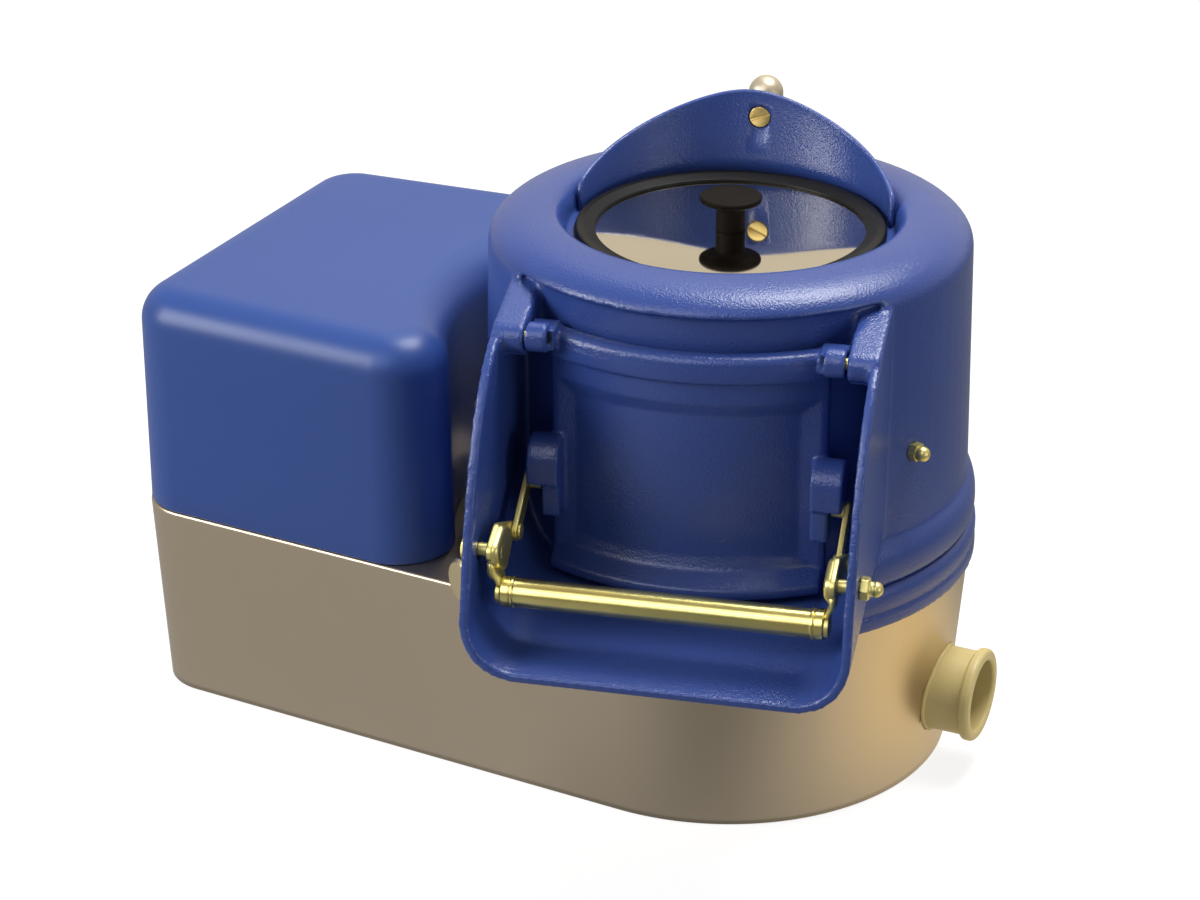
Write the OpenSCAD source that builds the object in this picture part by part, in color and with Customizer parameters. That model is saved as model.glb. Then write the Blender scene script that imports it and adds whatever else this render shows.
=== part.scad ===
// Countertop potato peeler: an abrasive plate turns at the foot of a cast
// drum, a belt drives it from a motor beside the drum, and a hinged door
// lets the peeled load out down a chute. Millimetres, +Z up, the drum axis
// is Z and the underside of the base is at Z = 0.

/* [Base housing] */
// Radius of the base's round end at deck height
base_top_r = 132.5; // [130:0.5:134]
// Radius of the base's round end at the bottom
base_bottom_r = 124; // [121:0.5:130]
// Distance from the drum axis to the motor end
base_length = 308; // [300:1:330]
// Height of the deck
base_height = 115; // [112:1:125]
// Angle at which each long side narrows towards the motor end
side_taper = 3; // [1:0.5:4]
// Plan radius of the two corners at the motor end
corner_r = 32; // [26:1:40]
// Thickness of the stainless sheet
sheet = 1.5; // [1:0.1:2]

/* [Motor cover] */
// Height of the cover above the deck
cover_height = 126; // [116:1:140]
// Radius of the hollow side that wraps round the drum
cover_hollow_r = 147; // [143:1:150]
// Plan radius of the corners beside the drum
cover_corner_r = 30; // [26:1:34]
// Radius of the top edge
cover_edge_r = 20; // [14:1:22]
// Wall of the moulding
cover_wall = 4; // [3:0.5:5]

/* [Drum] */
// Height of the base ring above the deck
ring_height = 17; // [15:1:20]
// Greatest radius of the base ring
ring_r = 135; // [134.5:0.5:137]
// Outer radius of the drum just under its shoulder
drum_top_r = 126.3; // [125.5:0.1:127]
// Outer radius of the drum just above its foot
drum_low_r = 129.2; // [128.5:0.1:130.5]
// Inner radius of the drum
drum_bore_r = 121; // [120.5:0.5:122]
// Height of the shoulder's crest above the deck
crest_h = 183.5; // [182:0.5:187]
// Radius of the shoulder's crest
crest_r = 94; // [92:1:98]
// Radius of the mouth above the lid seat
mouth_r = 86.5; // [86.4:0.1:88]
// Height of the lid seat above the deck
seat_h = 169; // [167:0.5:170]
// Inner radius of the lid seat
seat_r = 74; // [72:0.5:76]

/* [Chute and door] */
// Angle of the chute from the front
chute_turn = 12.5; // [0:0.5:20]
// Outside width across the chute's cheeks
chute_w = 194; // [190:1:200]
// Thickness of cheeks and floor
chute_wall = 5; // [4:0.5:6]
// Reach of the chute's lip from the drum axis
lip_u = 197; // [194:1:204]
// Drop of the lip's underside below the deck
lip_drop = 1.2; // [0.4:0.2:3]
// Radius of the chute's bottom corners
chute_corner_r = 30; // [24:1:34]
// Distance of the door's hinge axis from the drum axis
hinge_u = 118; // [117:0.5:119]
// Height of the door's hinge axis above the deck
hinge_h = 152; // [151:0.5:153]
// Width of the door
door_w = 140; // [136:1:142]
// Height of the door's bottom edge above the deck
door_h = 22.5; // [22:0.5:25]

/* [Door latch] */
// Distance of the handle's pivot from the drum axis
pivot_u = 171; // [169:1:172]
// Height of the handle's pivot above the deck
pivot_h = 59; // [58:1:62]
// Drop of the handle bar below its pivot
bar_drop = 22; // [20:1:24]
// Radius of the handle bar
bar_r = 7.3; // [6:0.1:8]
// Distance of the latch rivet from the drum axis
rivet_u = 137.5; // [136.5:0.5:139]
// Height of the latch rivet above the deck
rivet_h = 53.5; // [52:0.5:55]
// Distance of the latch link's tip from the drum axis
tip_u = 113; // [112:0.5:114]
// Height of the latch link's tip above the deck
tip_h = 70; // [69:0.5:71]

/* [Lid and guard] */
// Radius of the polished lid
lid_r = 72; // [69:0.5:73]
// Outer radius of the lid's rubber seal
seal_r = 81.7; // [80:0.1:82]
// Radius of the knob's cap
knob_r = 16.3; // [14:0.1:19]
// Height of the knob above the lid
knob_height = 19; // [16:1:24]
// Height of the splash guard's crest above the lid seat
guard_height = 50; // [44:1:56]
// Thickness of the splash guard
guard_wall = 2.8; // [2:0.1:3.2]

/* [Drive] */
// Shift of the motor from the middle of its cover, towards the motor end
motor_shift = -5.5; // [-8:0.5:-3]
// Space between the motor's body and the cover's hollow side
motor_room = 15; // [12:1:23]
// Radius of the large pulley on the spindle
big_pulley_r = 66; // [60:1:67]
// Radius of the small pulley on the motor
small_pulley_r = 20; // [16:1:24]
// Radius of the spindle
spindle_r = 10; // [8:0.5:12]
// Radius of the peeling plate
plate_r = 109; // [106:0.5:110]

/* [Water and waste] */
// Height of the waste outlet's axis
waste_z = 43; // [40:1:50]
// Outer radius of the waste pipe
waste_r = 23; // [21:0.5:25]
// Bore radius of the waste pipe
waste_bore_r = 19; // [16:0.5:20]
// Reach of the waste pipe beyond the base's round end
waste_out = 18.5; // [15:0.5:28]
// Outer radius of the water inlet's hose tail
inlet_r = 6.5; // [5:0.5:8]

/* [Hidden] */
$fn = 96;

blue = "#2f4f9c";
steel = "#b5aa94";
zinc = "#c9b26a";
rubber = "#1b1b1d";
beige = "#b3a779";
cast_grey = "#8d8f92";

// Clearance between pieces that only stand beside each other
gap = 0.3;
// Radial clearance of a pin that turns in its hole
run = 0.06;

// Heights of the drum's features, and the motor's place and size, worked out
// from the base they stand on
crest_z = base_height + crest_h;
seat_z = base_height + seat_h;
lip_z = base_height - lip_drop;
hinge_z = base_height + hinge_h;
door_z = base_height + door_h;
pivot_z = base_height + pivot_h;
rivet_z = base_height + rivet_h;
tip_z = base_height + tip_h;
motor_x = (base_length + cover_hollow_r) / 2 + motor_shift;
motor_r = motor_x - cover_hollow_r - motor_room;
waste_reach = base_top_r + waste_out;

// Round stretch from angle a0 to a1 about the point c
function arc(c, r, a0, a1, n) =
    [for (i = [0:n]) let (a = a0 + (a1 - a0) * i / n) [c[0] + r * cos(a), c[1] + r * sin(a)]];

// Curve from a to c that leaves towards b and arrives from it
function bend(a, b, c, n) =
    [for (i = [0:n]) let (k = i / n) (1 - k) * (1 - k) * a + 2 * k * (1 - k) * b + k * k * c];

// Solid skinned over a stack of outlines with equal point counts: [outline, z]
module loft(rings) {
    n = len(rings[0][0]);
    m = len(rings);
    points = [for (ring = rings) for (p = ring[0]) [p[0], p[1], ring[1]]];
    sides = [for (k = [0:m - 2]) for (i = [0:n - 1])
        [k * n + i, (k + 1) * n + i, (k + 1) * n + (i + 1) % n, k * n + (i + 1) % n]];
    polyhedron(points, concat([[for (i = [0:n - 1]) i]],
        [[for (i = [n - 1:-1:0]) (m - 1) * n + i]], sides), convexity = 6);
}

// The chute's own frame: X runs across the chute and -Y outwards
module at_chute() {
    rotate([0, 0, chute_turn]) children();
}

module both_sides() {
    for (k = [0, 1]) mirror([k, 0, 0]) children();
}

// Cylinder across the chute from t0 to t1, at reach u and height z
module cross_pin(u, z, r, t0, t1) {
    translate([t0, -u, z]) rotate([0, 90, 0]) cylinder(r = r, h = t1 - t0);
}

// Side profile, drawn as [reach, height], made into a plate from t0 to t1
module cross_plate(t0, t1) {
    translate([t1, 0, 0]) rotate([90, 0, -90]) linear_extrude(t1 - t0) children();
}

// Block across the chute: widths t, reaches u and heights z
module cross_block(t, u, z) {
    translate([t[0], -u[1], z[0]]) cube([t[1] - t[0], u[1] - u[0], z[1] - z[0]]);
}

// ---- Base housing ----

// Plan of the base, inset by d: a round end about the drum axis, sides that
// narrow towards the motor end, and two round corners there
function base_r(z) = base_bottom_r + (base_top_r - base_bottom_r) * z / base_height;
function corner_centre(r, d) = let (x = -base_length + corner_r)
    [x, -(r - corner_r + sin(side_taper) * x) / cos(side_taper)];
function base_outline(z, d) = let (r = base_r(z), c = corner_centre(r, d)) concat(
    arc(c, corner_r - d, 180, 270 - side_taper, 8),
    arc([0, 0], r - d, 270 - side_taper, 450 + side_taper, 56),
    arc([c[0], -c[1]], corner_r - d, 90 + side_taper, 180, 8));

deck_edge_r = 3;
bowl_r = 117.5;
motor_hole_r = motor_r + 4;
waste_hole_r = waste_r + gap;
gland_x = 46 - base_length;
gland_z = 38;
gland_r = 8;

module base_shell() color(steel) difference() {
    loft(concat([[base_outline(0, 0), 0]],
        [for (a = [0:22.5:90]) let (d = deck_edge_r * (1 - cos(a)),
            z = base_height - deck_edge_r * (1 - sin(a))) [base_outline(z, d), z]]));
    loft([[base_outline(-1, sheet), -1], [base_outline(base_height - sheet, sheet), base_height - sheet]]);
    cylinder(r = bowl_r + gap, h = base_height + 1);
    translate([-motor_x, 0, 0]) cylinder(r = motor_hole_r, h = base_height + 1);
    translate([0, 0, waste_z]) rotate([0, 90, 0]) cylinder(r = waste_hole_r, h = base_length);
    translate([gland_x, 0, gland_z]) rotate([-90, 0, 0]) cylinder(r = gland_r + gap, h = base_length);
}

plate_t = 2;
plate_screw_inset = 26;
screw_sites = [[-base_length + 45, -80], [-base_length + 45, 80], [0, -100], [0, 100]];

module base_plate() color(steel) difference() {
    union() {
        loft([[base_outline(0, sheet + gap), 0], [base_outline(plate_t, sheet + gap), plate_t]]);
        for (p = screw_sites) translate([p[0], p[1], plate_t]) cylinder(r = 7, h = 8);
    }
    for (p = screw_sites) translate([p[0], p[1], -1]) cylinder(r = 2.5 + run, h = 20);
    for (p = screw_sites) translate([p[0], p[1], -0.01]) cylinder(r1 = 4.9, r2 = 2.5, h = 2.4);
}

module base_plate_screws() color(cast_grey) for (p = screw_sites) translate([p[0], p[1], 0]) {
    translate([0, 0, 0.2]) cylinder(r1 = 4.5, r2 = 2.4, h = 2.1);
    cylinder(r = 2.4, h = 9);
}

// ---- Motor cover ----

// Centre of a corner beside the drum, touching the side and the hollow
function beside_centre(r) = let (a = r - cover_corner_r, b = cover_hollow_r + cover_corner_r,
    s = sqrt(b * b - a * a)) [-a * sin(side_taper) - s * cos(side_taper),
    -a * cos(side_taper) + s * sin(side_taper)];
function cover_outline(d) = let (r = base_top_r, c = corner_centre(r, 0), f = beside_centre(r),
    turn = atan2(-f[1], -f[0])) concat(
    arc(c, corner_r - d, 180, 270 - side_taper, 8),
    arc(f, cover_corner_r - d, 270 - side_taper, 360 + turn, 12),
    arc([0, 0], cover_hollow_r + d, 180 + turn, 180 - turn, 16),
    arc([f[0], -f[1]], cover_corner_r - d, -turn, 90 + side_taper, 12),
    arc([c[0], -c[1]], corner_r - d, 90 + side_taper, 180, 8));

cover_z = base_height + gap;
cover_top = base_height + cover_height;
cover_draft = 0.012;
cover_foot = 0.6;

// Outer or inner face of the cover, t inside the outer one
module cover_solid(t, z0) loft(concat([[cover_outline(cover_foot + t), z0]],
    [for (a = [0:12.857:90.01]) let (r = cover_edge_r - t,
        z = cover_top - t - r * (1 - sin(a)), d = t + r * (1 - cos(a)))
        [cover_outline(cover_foot + d + cover_draft * (z - cover_z)), z]]));

switch_x = 83 - base_length;
switch_z = base_height + 62;
button_r = 11;
button_pitch = 34;
cover_back_y = -corner_centre(base_top_r, 0)[1] + corner_r;
switch_face_y = (base_top_r + sin(side_taper) * switch_x) / cos(side_taper) + 3;
cover_screw_x = [28 - base_length, 143 - base_length];
cover_screw_z = base_height + 10;

function side_y(x) = (base_top_r + sin(side_taper) * x) / cos(side_taper);

module cover_screw_holes(r) for (x = cover_screw_x)
    translate([x, side_y(x), cover_screw_z]) rotate([-90, 0, side_taper]) translate([0, 0, -14]) cylinder(r = r, h = 30);

module motor_cover() color(blue) difference() {
    cover_solid(0, cover_z);
    cover_solid(cover_wall, cover_z - 1);
    cover_screw_holes(2.2);
    for (s = [-1, 1]) translate([switch_x + s * button_pitch / 2, side_y(switch_x) - 20, switch_z])
        rotate([-90, 0, 0]) cylinder(r = button_r + 1.5, h = 40);
}

module cover_screws() color(zinc) for (x = cover_screw_x)
    translate([x, side_y(x), cover_screw_z]) rotate([-90, 0, side_taper]) {
        translate([0, 0, -8]) cylinder(r = 2, h = 9);
        difference() {
            translate([0, 0, 0.4]) cylinder(r1 = 4, r2 = 3.2, h = 2);
            translate([-5, -0.5, 1.6]) cube([10, 1, 2]);
        }
    }

// ---- Controls on the back of the cover ----

switch_w = 76;
switch_h = 44;
switch_t = 6;
switch_back_y = side_y(switch_x) - 0.4;
press = 3;

module switch_plate() color(rubber) translate([switch_x, switch_back_y, switch_z]) difference() {
    rotate([0, 0, side_taper]) translate([-switch_w / 2, 0, -switch_h / 2]) union() {
        for (x = [5, switch_w - 5], z = [5, switch_h - 5])
            translate([x, 0, z]) rotate([-90, 0, 0]) cylinder(r = 5, h = switch_t, $fn = 48);
        translate([5, 0, 0]) cube([switch_w - 10, switch_t, switch_h]);
        translate([0, 0, 5]) cube([switch_w, switch_t, switch_h - 10]);
    }
    for (s = [-1, 1]) translate([s * button_pitch / 2, -20, 0])
        rotate([-90, 0, 0]) cylinder(r = button_r + gap, h = 40);
}

module push_button(side, dome) translate([switch_x + side * button_pitch / 2, switch_back_y, switch_z])
    rotate([-90, 0, 0]) {
        translate([0, 0, -4]) cylinder(r = button_r, h = switch_t + 4 + press + 1);
        translate([0, 0, -8]) cylinder(r = 4, h = 5);
        translate([0, 0, switch_t + press + 1]) cylinder(r1 = button_r, r2 = button_r - dome, h = dome);
    }
module start_button() color("green") push_button(1, 1);
module stop_button() color("red") push_button(-1, 1.5);

module cable_gland() color(rubber) {
    face = (base_r(gland_z) + sin(side_taper) * gland_x) / cos(side_taper);
    translate([gland_x, face, gland_z]) rotate([-90, 0, side_taper]) difference() {
        union() {
            translate([0, 0, -8]) cylinder(r = gland_r - 0.1, h = 10);
            translate([0, 0, -9]) cylinder(r = gland_r + 3, h = 5, $fn = 6);
            translate([0, 0, 0.8]) cylinder(r = gland_r + 3.5, h = 5, $fn = 6);
            translate([0, 0, 5.8]) cylinder(r1 = gland_r + 1.5, r2 = gland_r - 1, h = 12);
        }
        translate([0, 0, -20]) cylinder(r = 4.5, h = 60);
    }
}

// ---- Base ring with its bowl ----

ring_z = base_height + gap;
ring_top = base_height + ring_height;
bowl_floor = base_height - 15;
bowl_wall = 5;
bowl_bore = 112;
drain_x = 84;
drain_r = 18;
hub_r = 27;

// Section of the ring's outer face: rounded above and below
ring_face = concat([[128, ring_z]], bend([ring_r - 3, ring_z], [ring_r, ring_z + 3], [ring_r, ring_z + 8], 4),
    bend([ring_r, ring_z + 9], [ring_r, ring_top - 2], [ring_r - 3, ring_top], 4));

module base_ring() color(blue) difference() {
    union() {
        rotate_extrude() polygon(concat(
            [[hub_r - 6, bowl_floor - bowl_wall], [bowl_r, bowl_floor - bowl_wall], [bowl_r, ring_z]],
            ring_face,
            [[bowl_bore, ring_top], [bowl_bore, bowl_floor + 6], [bowl_bore - 6, bowl_floor],
             [hub_r, bowl_floor], [hub_r - 3, ring_top - 9], [hub_r - 6, ring_top - 9]]));
        translate([drain_x, 0, bowl_floor - 22]) cylinder(r = drain_r + 3, h = 20);
        rotate([0, 0, clamp_turn]) translate([0, 0, clamp_z]) rotate([90, 0, 0]) {
            translate([0, 0, ring_r - 9]) cylinder(r = 7, h = clamp_lug_end - ring_r + 9);
        }
    }
    translate([drain_x, 0, 0]) cylinder(r = drain_r, h = bowl_floor + 1);
    rotate([0, 0, clamp_turn]) translate([0, 0, clamp_z]) rotate([90, 0, 0])
        translate([0, 0, bowl_bore + 4]) cylinder(r = 3 + run, h = 60);
}

clamp_turn = -33;
clamp_z = ring_z + 9.2;
clamp_lug_end = base_top_r + 18;
knob_disc_r = 12.5;

module at_clamp() rotate([0, 0, clamp_turn]) translate([0, 0, clamp_z]) rotate([90, 0, 0]) children();

module clamp_screw() color(zinc) at_clamp() translate([0, 0, 119]) cylinder(r = 3, h = clamp_lug_end - 108);

module clamp_knob() color(steel) at_clamp() difference() {
    union() {
        translate([0, 0, clamp_lug_end + gap]) cylinder(r = 8, h = 8);
        translate([0, 0, clamp_lug_end + 8]) cylinder(r = knob_disc_r, h = 6);
        translate([0, 0, clamp_lug_end + 14]) cylinder(r1 = knob_disc_r, r2 = knob_disc_r - 2, h = 2);
    }
    translate([0, 0, clamp_lug_end - 7]) cylinder(r = 3.01, h = 19);
}

// ---- Drum with its chute ----

drum_z = ring_top + gap;
foot_r = ring_r - 1;
foot_h = 18;
seat_wall = 5;
recess_r = 119.5;
recess_bore_r = 113.5;
recess_z = drum_z + 3.5;
recess_top = seat_z + 2;
half_w = chute_w / 2;
cheek_in = half_w - chute_wall;
shoulder_z = crest_z - 17;

// Outer face of the drum: foot, tapered wall, round shoulder, round mouth
drum_face = concat(
    [[drum_bore_r - 3, drum_z]],
    bend([foot_r - 2, drum_z], [foot_r, drum_z + 1], [foot_r, drum_z + 6], 3),
    bend([foot_r, drum_z + 9], [foot_r, drum_z + foot_h], [drum_low_r, drum_z + foot_h + 6], 5),
    [for (a = [0:7.5:90]) [crest_r + (drum_top_r - crest_r) * pow(cos(a), 0.9),
        shoulder_z + (crest_z - shoulder_z) * pow(sin(a), 0.9)]],
    [for (a = [15:15:90]) [crest_r - (crest_r - mouth_r) * sin(a), crest_z - 12 * (1 - cos(a))]],
    [[mouth_r, seat_z], [seat_r, seat_z], [seat_r, seat_z - seat_wall]],
    [for (a = [90:-15:0]) [crest_r + 6 + (drum_bore_r - crest_r - 6) * cos(a),
        shoulder_z - 12 + (seat_z - seat_wall - shoulder_z + 12) * sin(a)]],
    [[drum_bore_r - 3, shoulder_z - 12]]);

// Side profile of a cheek with a round front edge
cheek_profile = concat([[60, recess_z - 3], [60, hinge_z + 5], [hinge_u, hinge_z + 5]],
    bend([hinge_u + 1, hinge_z + 4], [lip_u - 24, hinge_z - 10], [lip_u - 1, lip_z + 26.2], 12),
    bend([lip_u, lip_z + 16.2], [lip_u + 1, lip_z], [lip_u - 5, lip_z - 4], 5), [[60, lip_z - 4]]);

floor_drop = 11;

// Section across the chute: straight cheeks and round bottom corners
module trough_section(w, r) {
    translate([-w, r]) square([2 * w, 200]);
    translate([-w + r, 0]) square([2 * (w - r), r + 1]);
    for (s = [-1, 1]) translate([s * (w - r), r]) circle(r);
}

// The section carried along the sloping floor, t inside the outer face
module trough(t) translate([0, -lip_u, lip_z + t]) rotate([90 + floor_drop, 0, 0])
    translate([0, 0, -170]) linear_extrude(180) trough_section(half_w - t, chute_corner_r - t);

module chute() {
    intersection() {
        difference() {
            trough(0);
            trough(chute_wall);
        }
        cross_plate(-half_w - 1, half_w + 1) polygon(cheek_profile);
        difference() {
            cylinder(r = 320, h = 400);
            cylinder(r = ring_r + 0.8, h = drum_z + 0.4);
            cylinder(r = foot_r - 3, h = recess_z);
            translate([0, 0, recess_z - 0.01]) cylinder(r = recess_r - 2, h = 400);
            // The cheeks end inside the drum's wall
            difference() {
                cylinder(r = drum_bore_r + 2, h = 400);
                cross_block([-cheek_in + 1, cheek_in - 1], [0, 200], [0, 401]);
            }
        }
    }
    // Sill over the ring, between the floor and the drum's foot
    intersection() {
        trough(0);
        rotate_extrude() polygon([[foot_r - 5, drum_z + 0.7], [ring_r + 0.9, drum_z + 0.5], [ring_r + 0.9, drum_z - 8],
            [ring_r + 4, drum_z - 8], [ring_r + 4, drum_z], [ring_r, recess_z - 0.3], [foot_r - 5, recess_z - 0.3]]);
    }
    // Hinge blocks at the top of the cheeks
    both_sides() difference() {
        union() {
            cross_block([hinge_gap, half_w - 0.4], [70, hinge_u], [hinge_z - 11, hinge_z + 6.5]);
            cross_pin(hinge_u, hinge_z - 1, 7.5, hinge_gap, half_w - 0.4);
        }
        cylinder(r = recess_r - 1, h = 400);
    }
}

hinge_gap = 80.5;
window_w = 116;
window_z = [base_height + 26.5, base_height + 141];
stud_turns = [70, 190, 310];
stud_z = base_height + 86;

module drum() color(blue) difference() {
    union() {
        difference() {
            rotate_extrude() polygon(drum_face);
            // Bore, left thick where the door frame is
            difference() {
                translate([0, 0, drum_z - 1]) cylinder(r = drum_bore_r, h = shoulder_z - 11 - drum_z);
                at_chute() cross_block([-half_w + 1, half_w - 1], [0, 200], [0, 400]);
            }
            // Recess in front of the door frame
            at_chute() difference() {
                cross_block([-cheek_in + 0.5, cheek_in - 0.5], [40, 200], [recess_z, recess_top]);
                cylinder(r = recess_r, h = 400);
            }
        }
        at_chute() {
            chute();
            intersection() {
                difference() {
                    translate([0, 0, drum_z + 0.5]) cylinder(r = recess_r, h = seat_z - drum_z - 1);
                    translate([0, 0, drum_z - 1]) cylinder(r = recess_bore_r, h = shoulder_z - drum_z);
                }
                cross_block([-half_w + 1, half_w - 1], [0, 200], [0, shoulder_z - 4]);
            }
        }
    }
    translate([0, 0, drum_z - 1]) cylinder(r = recess_bore_r, h = shoulder_z - 11 - drum_z);
    at_chute() {
        cross_block([-window_w / 2, window_w / 2], [60, 160], window_z);
        both_sides() {
            cross_pin(hinge_u, hinge_z, 3 + run, hinge_gap - 1, half_w - 2);
            cross_pin(pivot_u, pivot_z, 4 + run, cheek_in - 1, half_w + 1);
        }
    }
    for (a = stud_turns) rotate([0, 0, a]) translate([0, -110, stud_z]) rotate([90, 0, 0])
        cylinder(r = 3 + run, h = 30);
}

module drum_studs() color(zinc) for (a = stud_turns) rotate([0, 0, a]) translate([0, 0, stud_z]) rotate([90, 0, 0]) {
    wall = drum_top_r + (drum_low_r - drum_top_r) * (shoulder_z - stud_z) / (shoulder_z - drum_z - 24);
    translate([0, 0, drum_bore_r - 5]) cylinder(r1 = 3, r2 = 5, h = 1.5);
    translate([0, 0, drum_bore_r - 4]) cylinder(r = 3, h = wall - drum_bore_r + 9);
    translate([0, 0, wall + 0.2]) cylinder(r = 5, h = 4, $fn = 6);
    translate([0, 0, wall + 4.2]) cylinder(r = 4, h = 2);
    translate([0, 0, wall + 6.2]) sphere(4, $fn = 32);
}

module wall_liner() color("#6d6a66") rotate([0, 0, chute_turn]) difference() {
    translate([0, 0, drum_z + 8]) cylinder(r = drum_bore_r - gap, h = 110);
    translate([0, 0, drum_z]) cylinder(r = drum_bore_r - gap - 2, h = 140);
    cross_block([-half_w - 1, half_w + 1], [0, 200], [0, 400]);
    for (a = stud_turns) rotate([0, 0, a - chute_turn]) translate([0, -100, stud_z]) rotate([90, 0, 0])
        cylinder(r = 5.3, h = 40);
}

module hinge_pins() color(zinc) at_chute() both_sides() cross_pin(hinge_u, hinge_z, 3, 70, half_w - 2.3);

// Layers outwards from the chute's middle: boss, link, crank plate, cheek
boss_end = 80.2;
link_in = 80.6;
link_out = 83.1;
plate_in = 83.5;
plate_out = 86;

module pivot_studs() color(zinc) at_chute() {
    both_sides() {
        cross_pin(pivot_u, pivot_z, 4, plate_in - 2.2, half_w + 4);
        cross_pin(pivot_u, pivot_z, 6.5, plate_in - 2.5, plate_in - 0.3);
        cross_pin(pivot_u, pivot_z, 6.5, plate_out + gap, cheek_in - 0.05);
    }
    cross_pin(pivot_u, pivot_z, 4, half_w + 3, half_w + 9);
}

// An acorn nut on the right cheek and a thin nut on the left one
module pivot_nuts() color(zinc) at_chute() difference() {
    union() {
        translate([-half_w - 3.7, -pivot_u, pivot_z]) rotate([0, 90, 0]) cylinder(r = 6.9, h = 3.4, $fn = 6);
        translate([half_w + 0.3, -pivot_u, pivot_z]) rotate([0, 90, 0]) cylinder(r = 6.9, h = 6, $fn = 6);
        cross_pin(pivot_u, pivot_z, 5.1, half_w + 6.3, half_w + 9);
        translate([half_w + 9, -pivot_u, pivot_z]) sphere(5.1, $fn = 32);
    }
    cross_pin(pivot_u, pivot_z, 4 + run, half_w - 1, half_w + 9.5);
    cross_pin(pivot_u, pivot_z, 4 + run, -half_w - 9, -half_w + 1);
}

// ---- Door ----

door_in_r = 121.5;
door_out_r = 128.5;
panel_r = 124.5;
half_door = door_w / 2;
frame_w = 13;
slope_w = 11;
boss_r = 12.5;
boss_u = 111;
boss_z = tip_z + 14;
nose_z = tip_z + 2.5;
tip_r = 3.4;
door_top = hinge_z + 2;

// Section of the door with a sunk panel: bottom band, panel, top rib
sunk_section = concat([[door_in_r, door_z], [door_out_r - 2, door_z], [door_out_r, door_z + 2],
    [door_out_r, door_z + 9], [panel_r, door_z + 20], [panel_r, hinge_z - 32], [door_out_r - 0.5, hinge_z - 24],
    [door_out_r - 0.5, hinge_z - 10]], arc([door_out_r - 2, hinge_z - 3], 5, -50, 90, 8),
    [[door_in_r + 1, door_top], [door_in_r, hinge_z - 4]]);
// The same section without the sunk panel, for the two sides
side_section = concat([[door_in_r, door_z], [door_out_r - 2, door_z], [door_out_r, door_z + 2],
    [door_out_r - 0.5, hinge_z - 10]], arc([door_out_r - 2, hinge_z - 3], 5, -50, 90, 8),
    [[door_in_r + 1, door_top], [door_in_r, hinge_z - 4]]);

// Plan of the frame's side, drawn as [t, -u]: a slope up from the panel's
// edge, then the flat band
function on_ring(r, t) = sqrt(r * r - t * t);
side_slope = let (t0 = half_door - frame_w, t1 = t0 + slope_w,
    u0 = on_ring(panel_r, t0), u1 = on_ring(door_out_r, t1)) [[t0 - 1, -90],
    [t0 - 1, -u0 - (u0 - u1) / slope_w], [t1, -u1], [half_door, -u1 - 5], [half_door, -90]];

door_gap = 0.6;
module door() color(blue) at_chute() difference() {
    union() {
        intersection() {
            trough(chute_wall + door_gap);
            rotate_extrude() polygon(sunk_section);
            cross_block([-half_door, half_door], [60, 200], [0, 400]);
        }
        intersection() {
            trough(chute_wall + door_gap);
            rotate_extrude() polygon(side_section);
            both_sides() linear_extrude(400) polygon(side_slope);
        }
        both_sides() {
            cross_block([half_door - 4, hinge_gap - 1], [hinge_u - 15, hinge_u], [hinge_z - 7, hinge_z + 4]);
            cross_pin(hinge_u, hinge_z, 7.5, half_door - 1, hinge_gap - 1);
            difference() {
                // Latch boss: a round nose over a flat underside, on a narrower block
                union() {
                    cross_block([half_door - 6, boss_end], [boss_u - 10, boss_u + boss_r], [nose_z, boss_z]);
                    cross_pin(boss_u, boss_z, boss_r, half_door - 6, boss_end);
                    cross_block([half_door - 6, half_door + 3], [boss_u - 6, boss_u + 9], [nose_z - 18, boss_z]);
                }
                translate([0, 0, nose_z - 30]) cylinder(r = panel_lip, h = 100);
            }
        }
    }
    both_sides() {
        cross_pin(hinge_u, hinge_z, 3 + run, half_door - 2, hinge_gap);
        cross_pin(tip_u, tip_z, tip_r + gap, half_door + 3, boss_end + 1);
        cross_block([half_door + 3, boss_end + 1], [60, 160], [tip_z - 20, nose_z]);
    }
}
panel_lip = door_in_r;

module door_gasket() color(rubber) at_chute() intersection() {
    difference() {
        cylinder(r = door_in_r - 0.15, h = 400);
        cylinder(r = recess_r + gap, h = 400);
    }
    trough(chute_wall + door_gap);
    difference() {
        cross_block([-half_door + 3, half_door - 3], [60, 200], [door_z + 1, hinge_z - 6]);
        cross_block([-window_w / 2 - 2, window_w / 2 + 2], [60, 200], [door_z + 5, hinge_z - 12]);
    }
}

// ---- Handle and latch ----

foot_in = 80.6;
plate_steel = plate_out - plate_in;
// Corners of the crank plate, as [reach, height], and their radius
crank_r = 4.9;
crank_top = [pivot_u - 6.5, pivot_z + 6.5];
crank_low = [pivot_u - 13, pivot_z - 7.5];
crank_end = [pivot_u + 5.5, pivot_z + 2];

// Outline at the distance r round a ring of corners that turns left
function heading(a, b) = atan2(b[1] - a[1], b[0] - a[0]);
function round_outline(ring, r) = let (n = len(ring)) [for (i = [0:n - 1])
    let (a0 = heading(ring[(i + n - 1) % n], ring[i]) - 90, a1 = heading(ring[i], ring[(i + 1) % n]) - 90)
    each arc(ring[i], r, a0, a1 < a0 ? a1 + 360 : a1, 8)];

// Strap with round ends of radius r at a and b
module strap(a, b, r) {
    turn = atan2(b[1] - a[1], b[0] - a[0]);
    translate(a) circle(r);
    translate(b) circle(r);
    translate(a) rotate(turn) translate([0, -r]) square([norm(b - a), 2 * r]);
}

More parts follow.
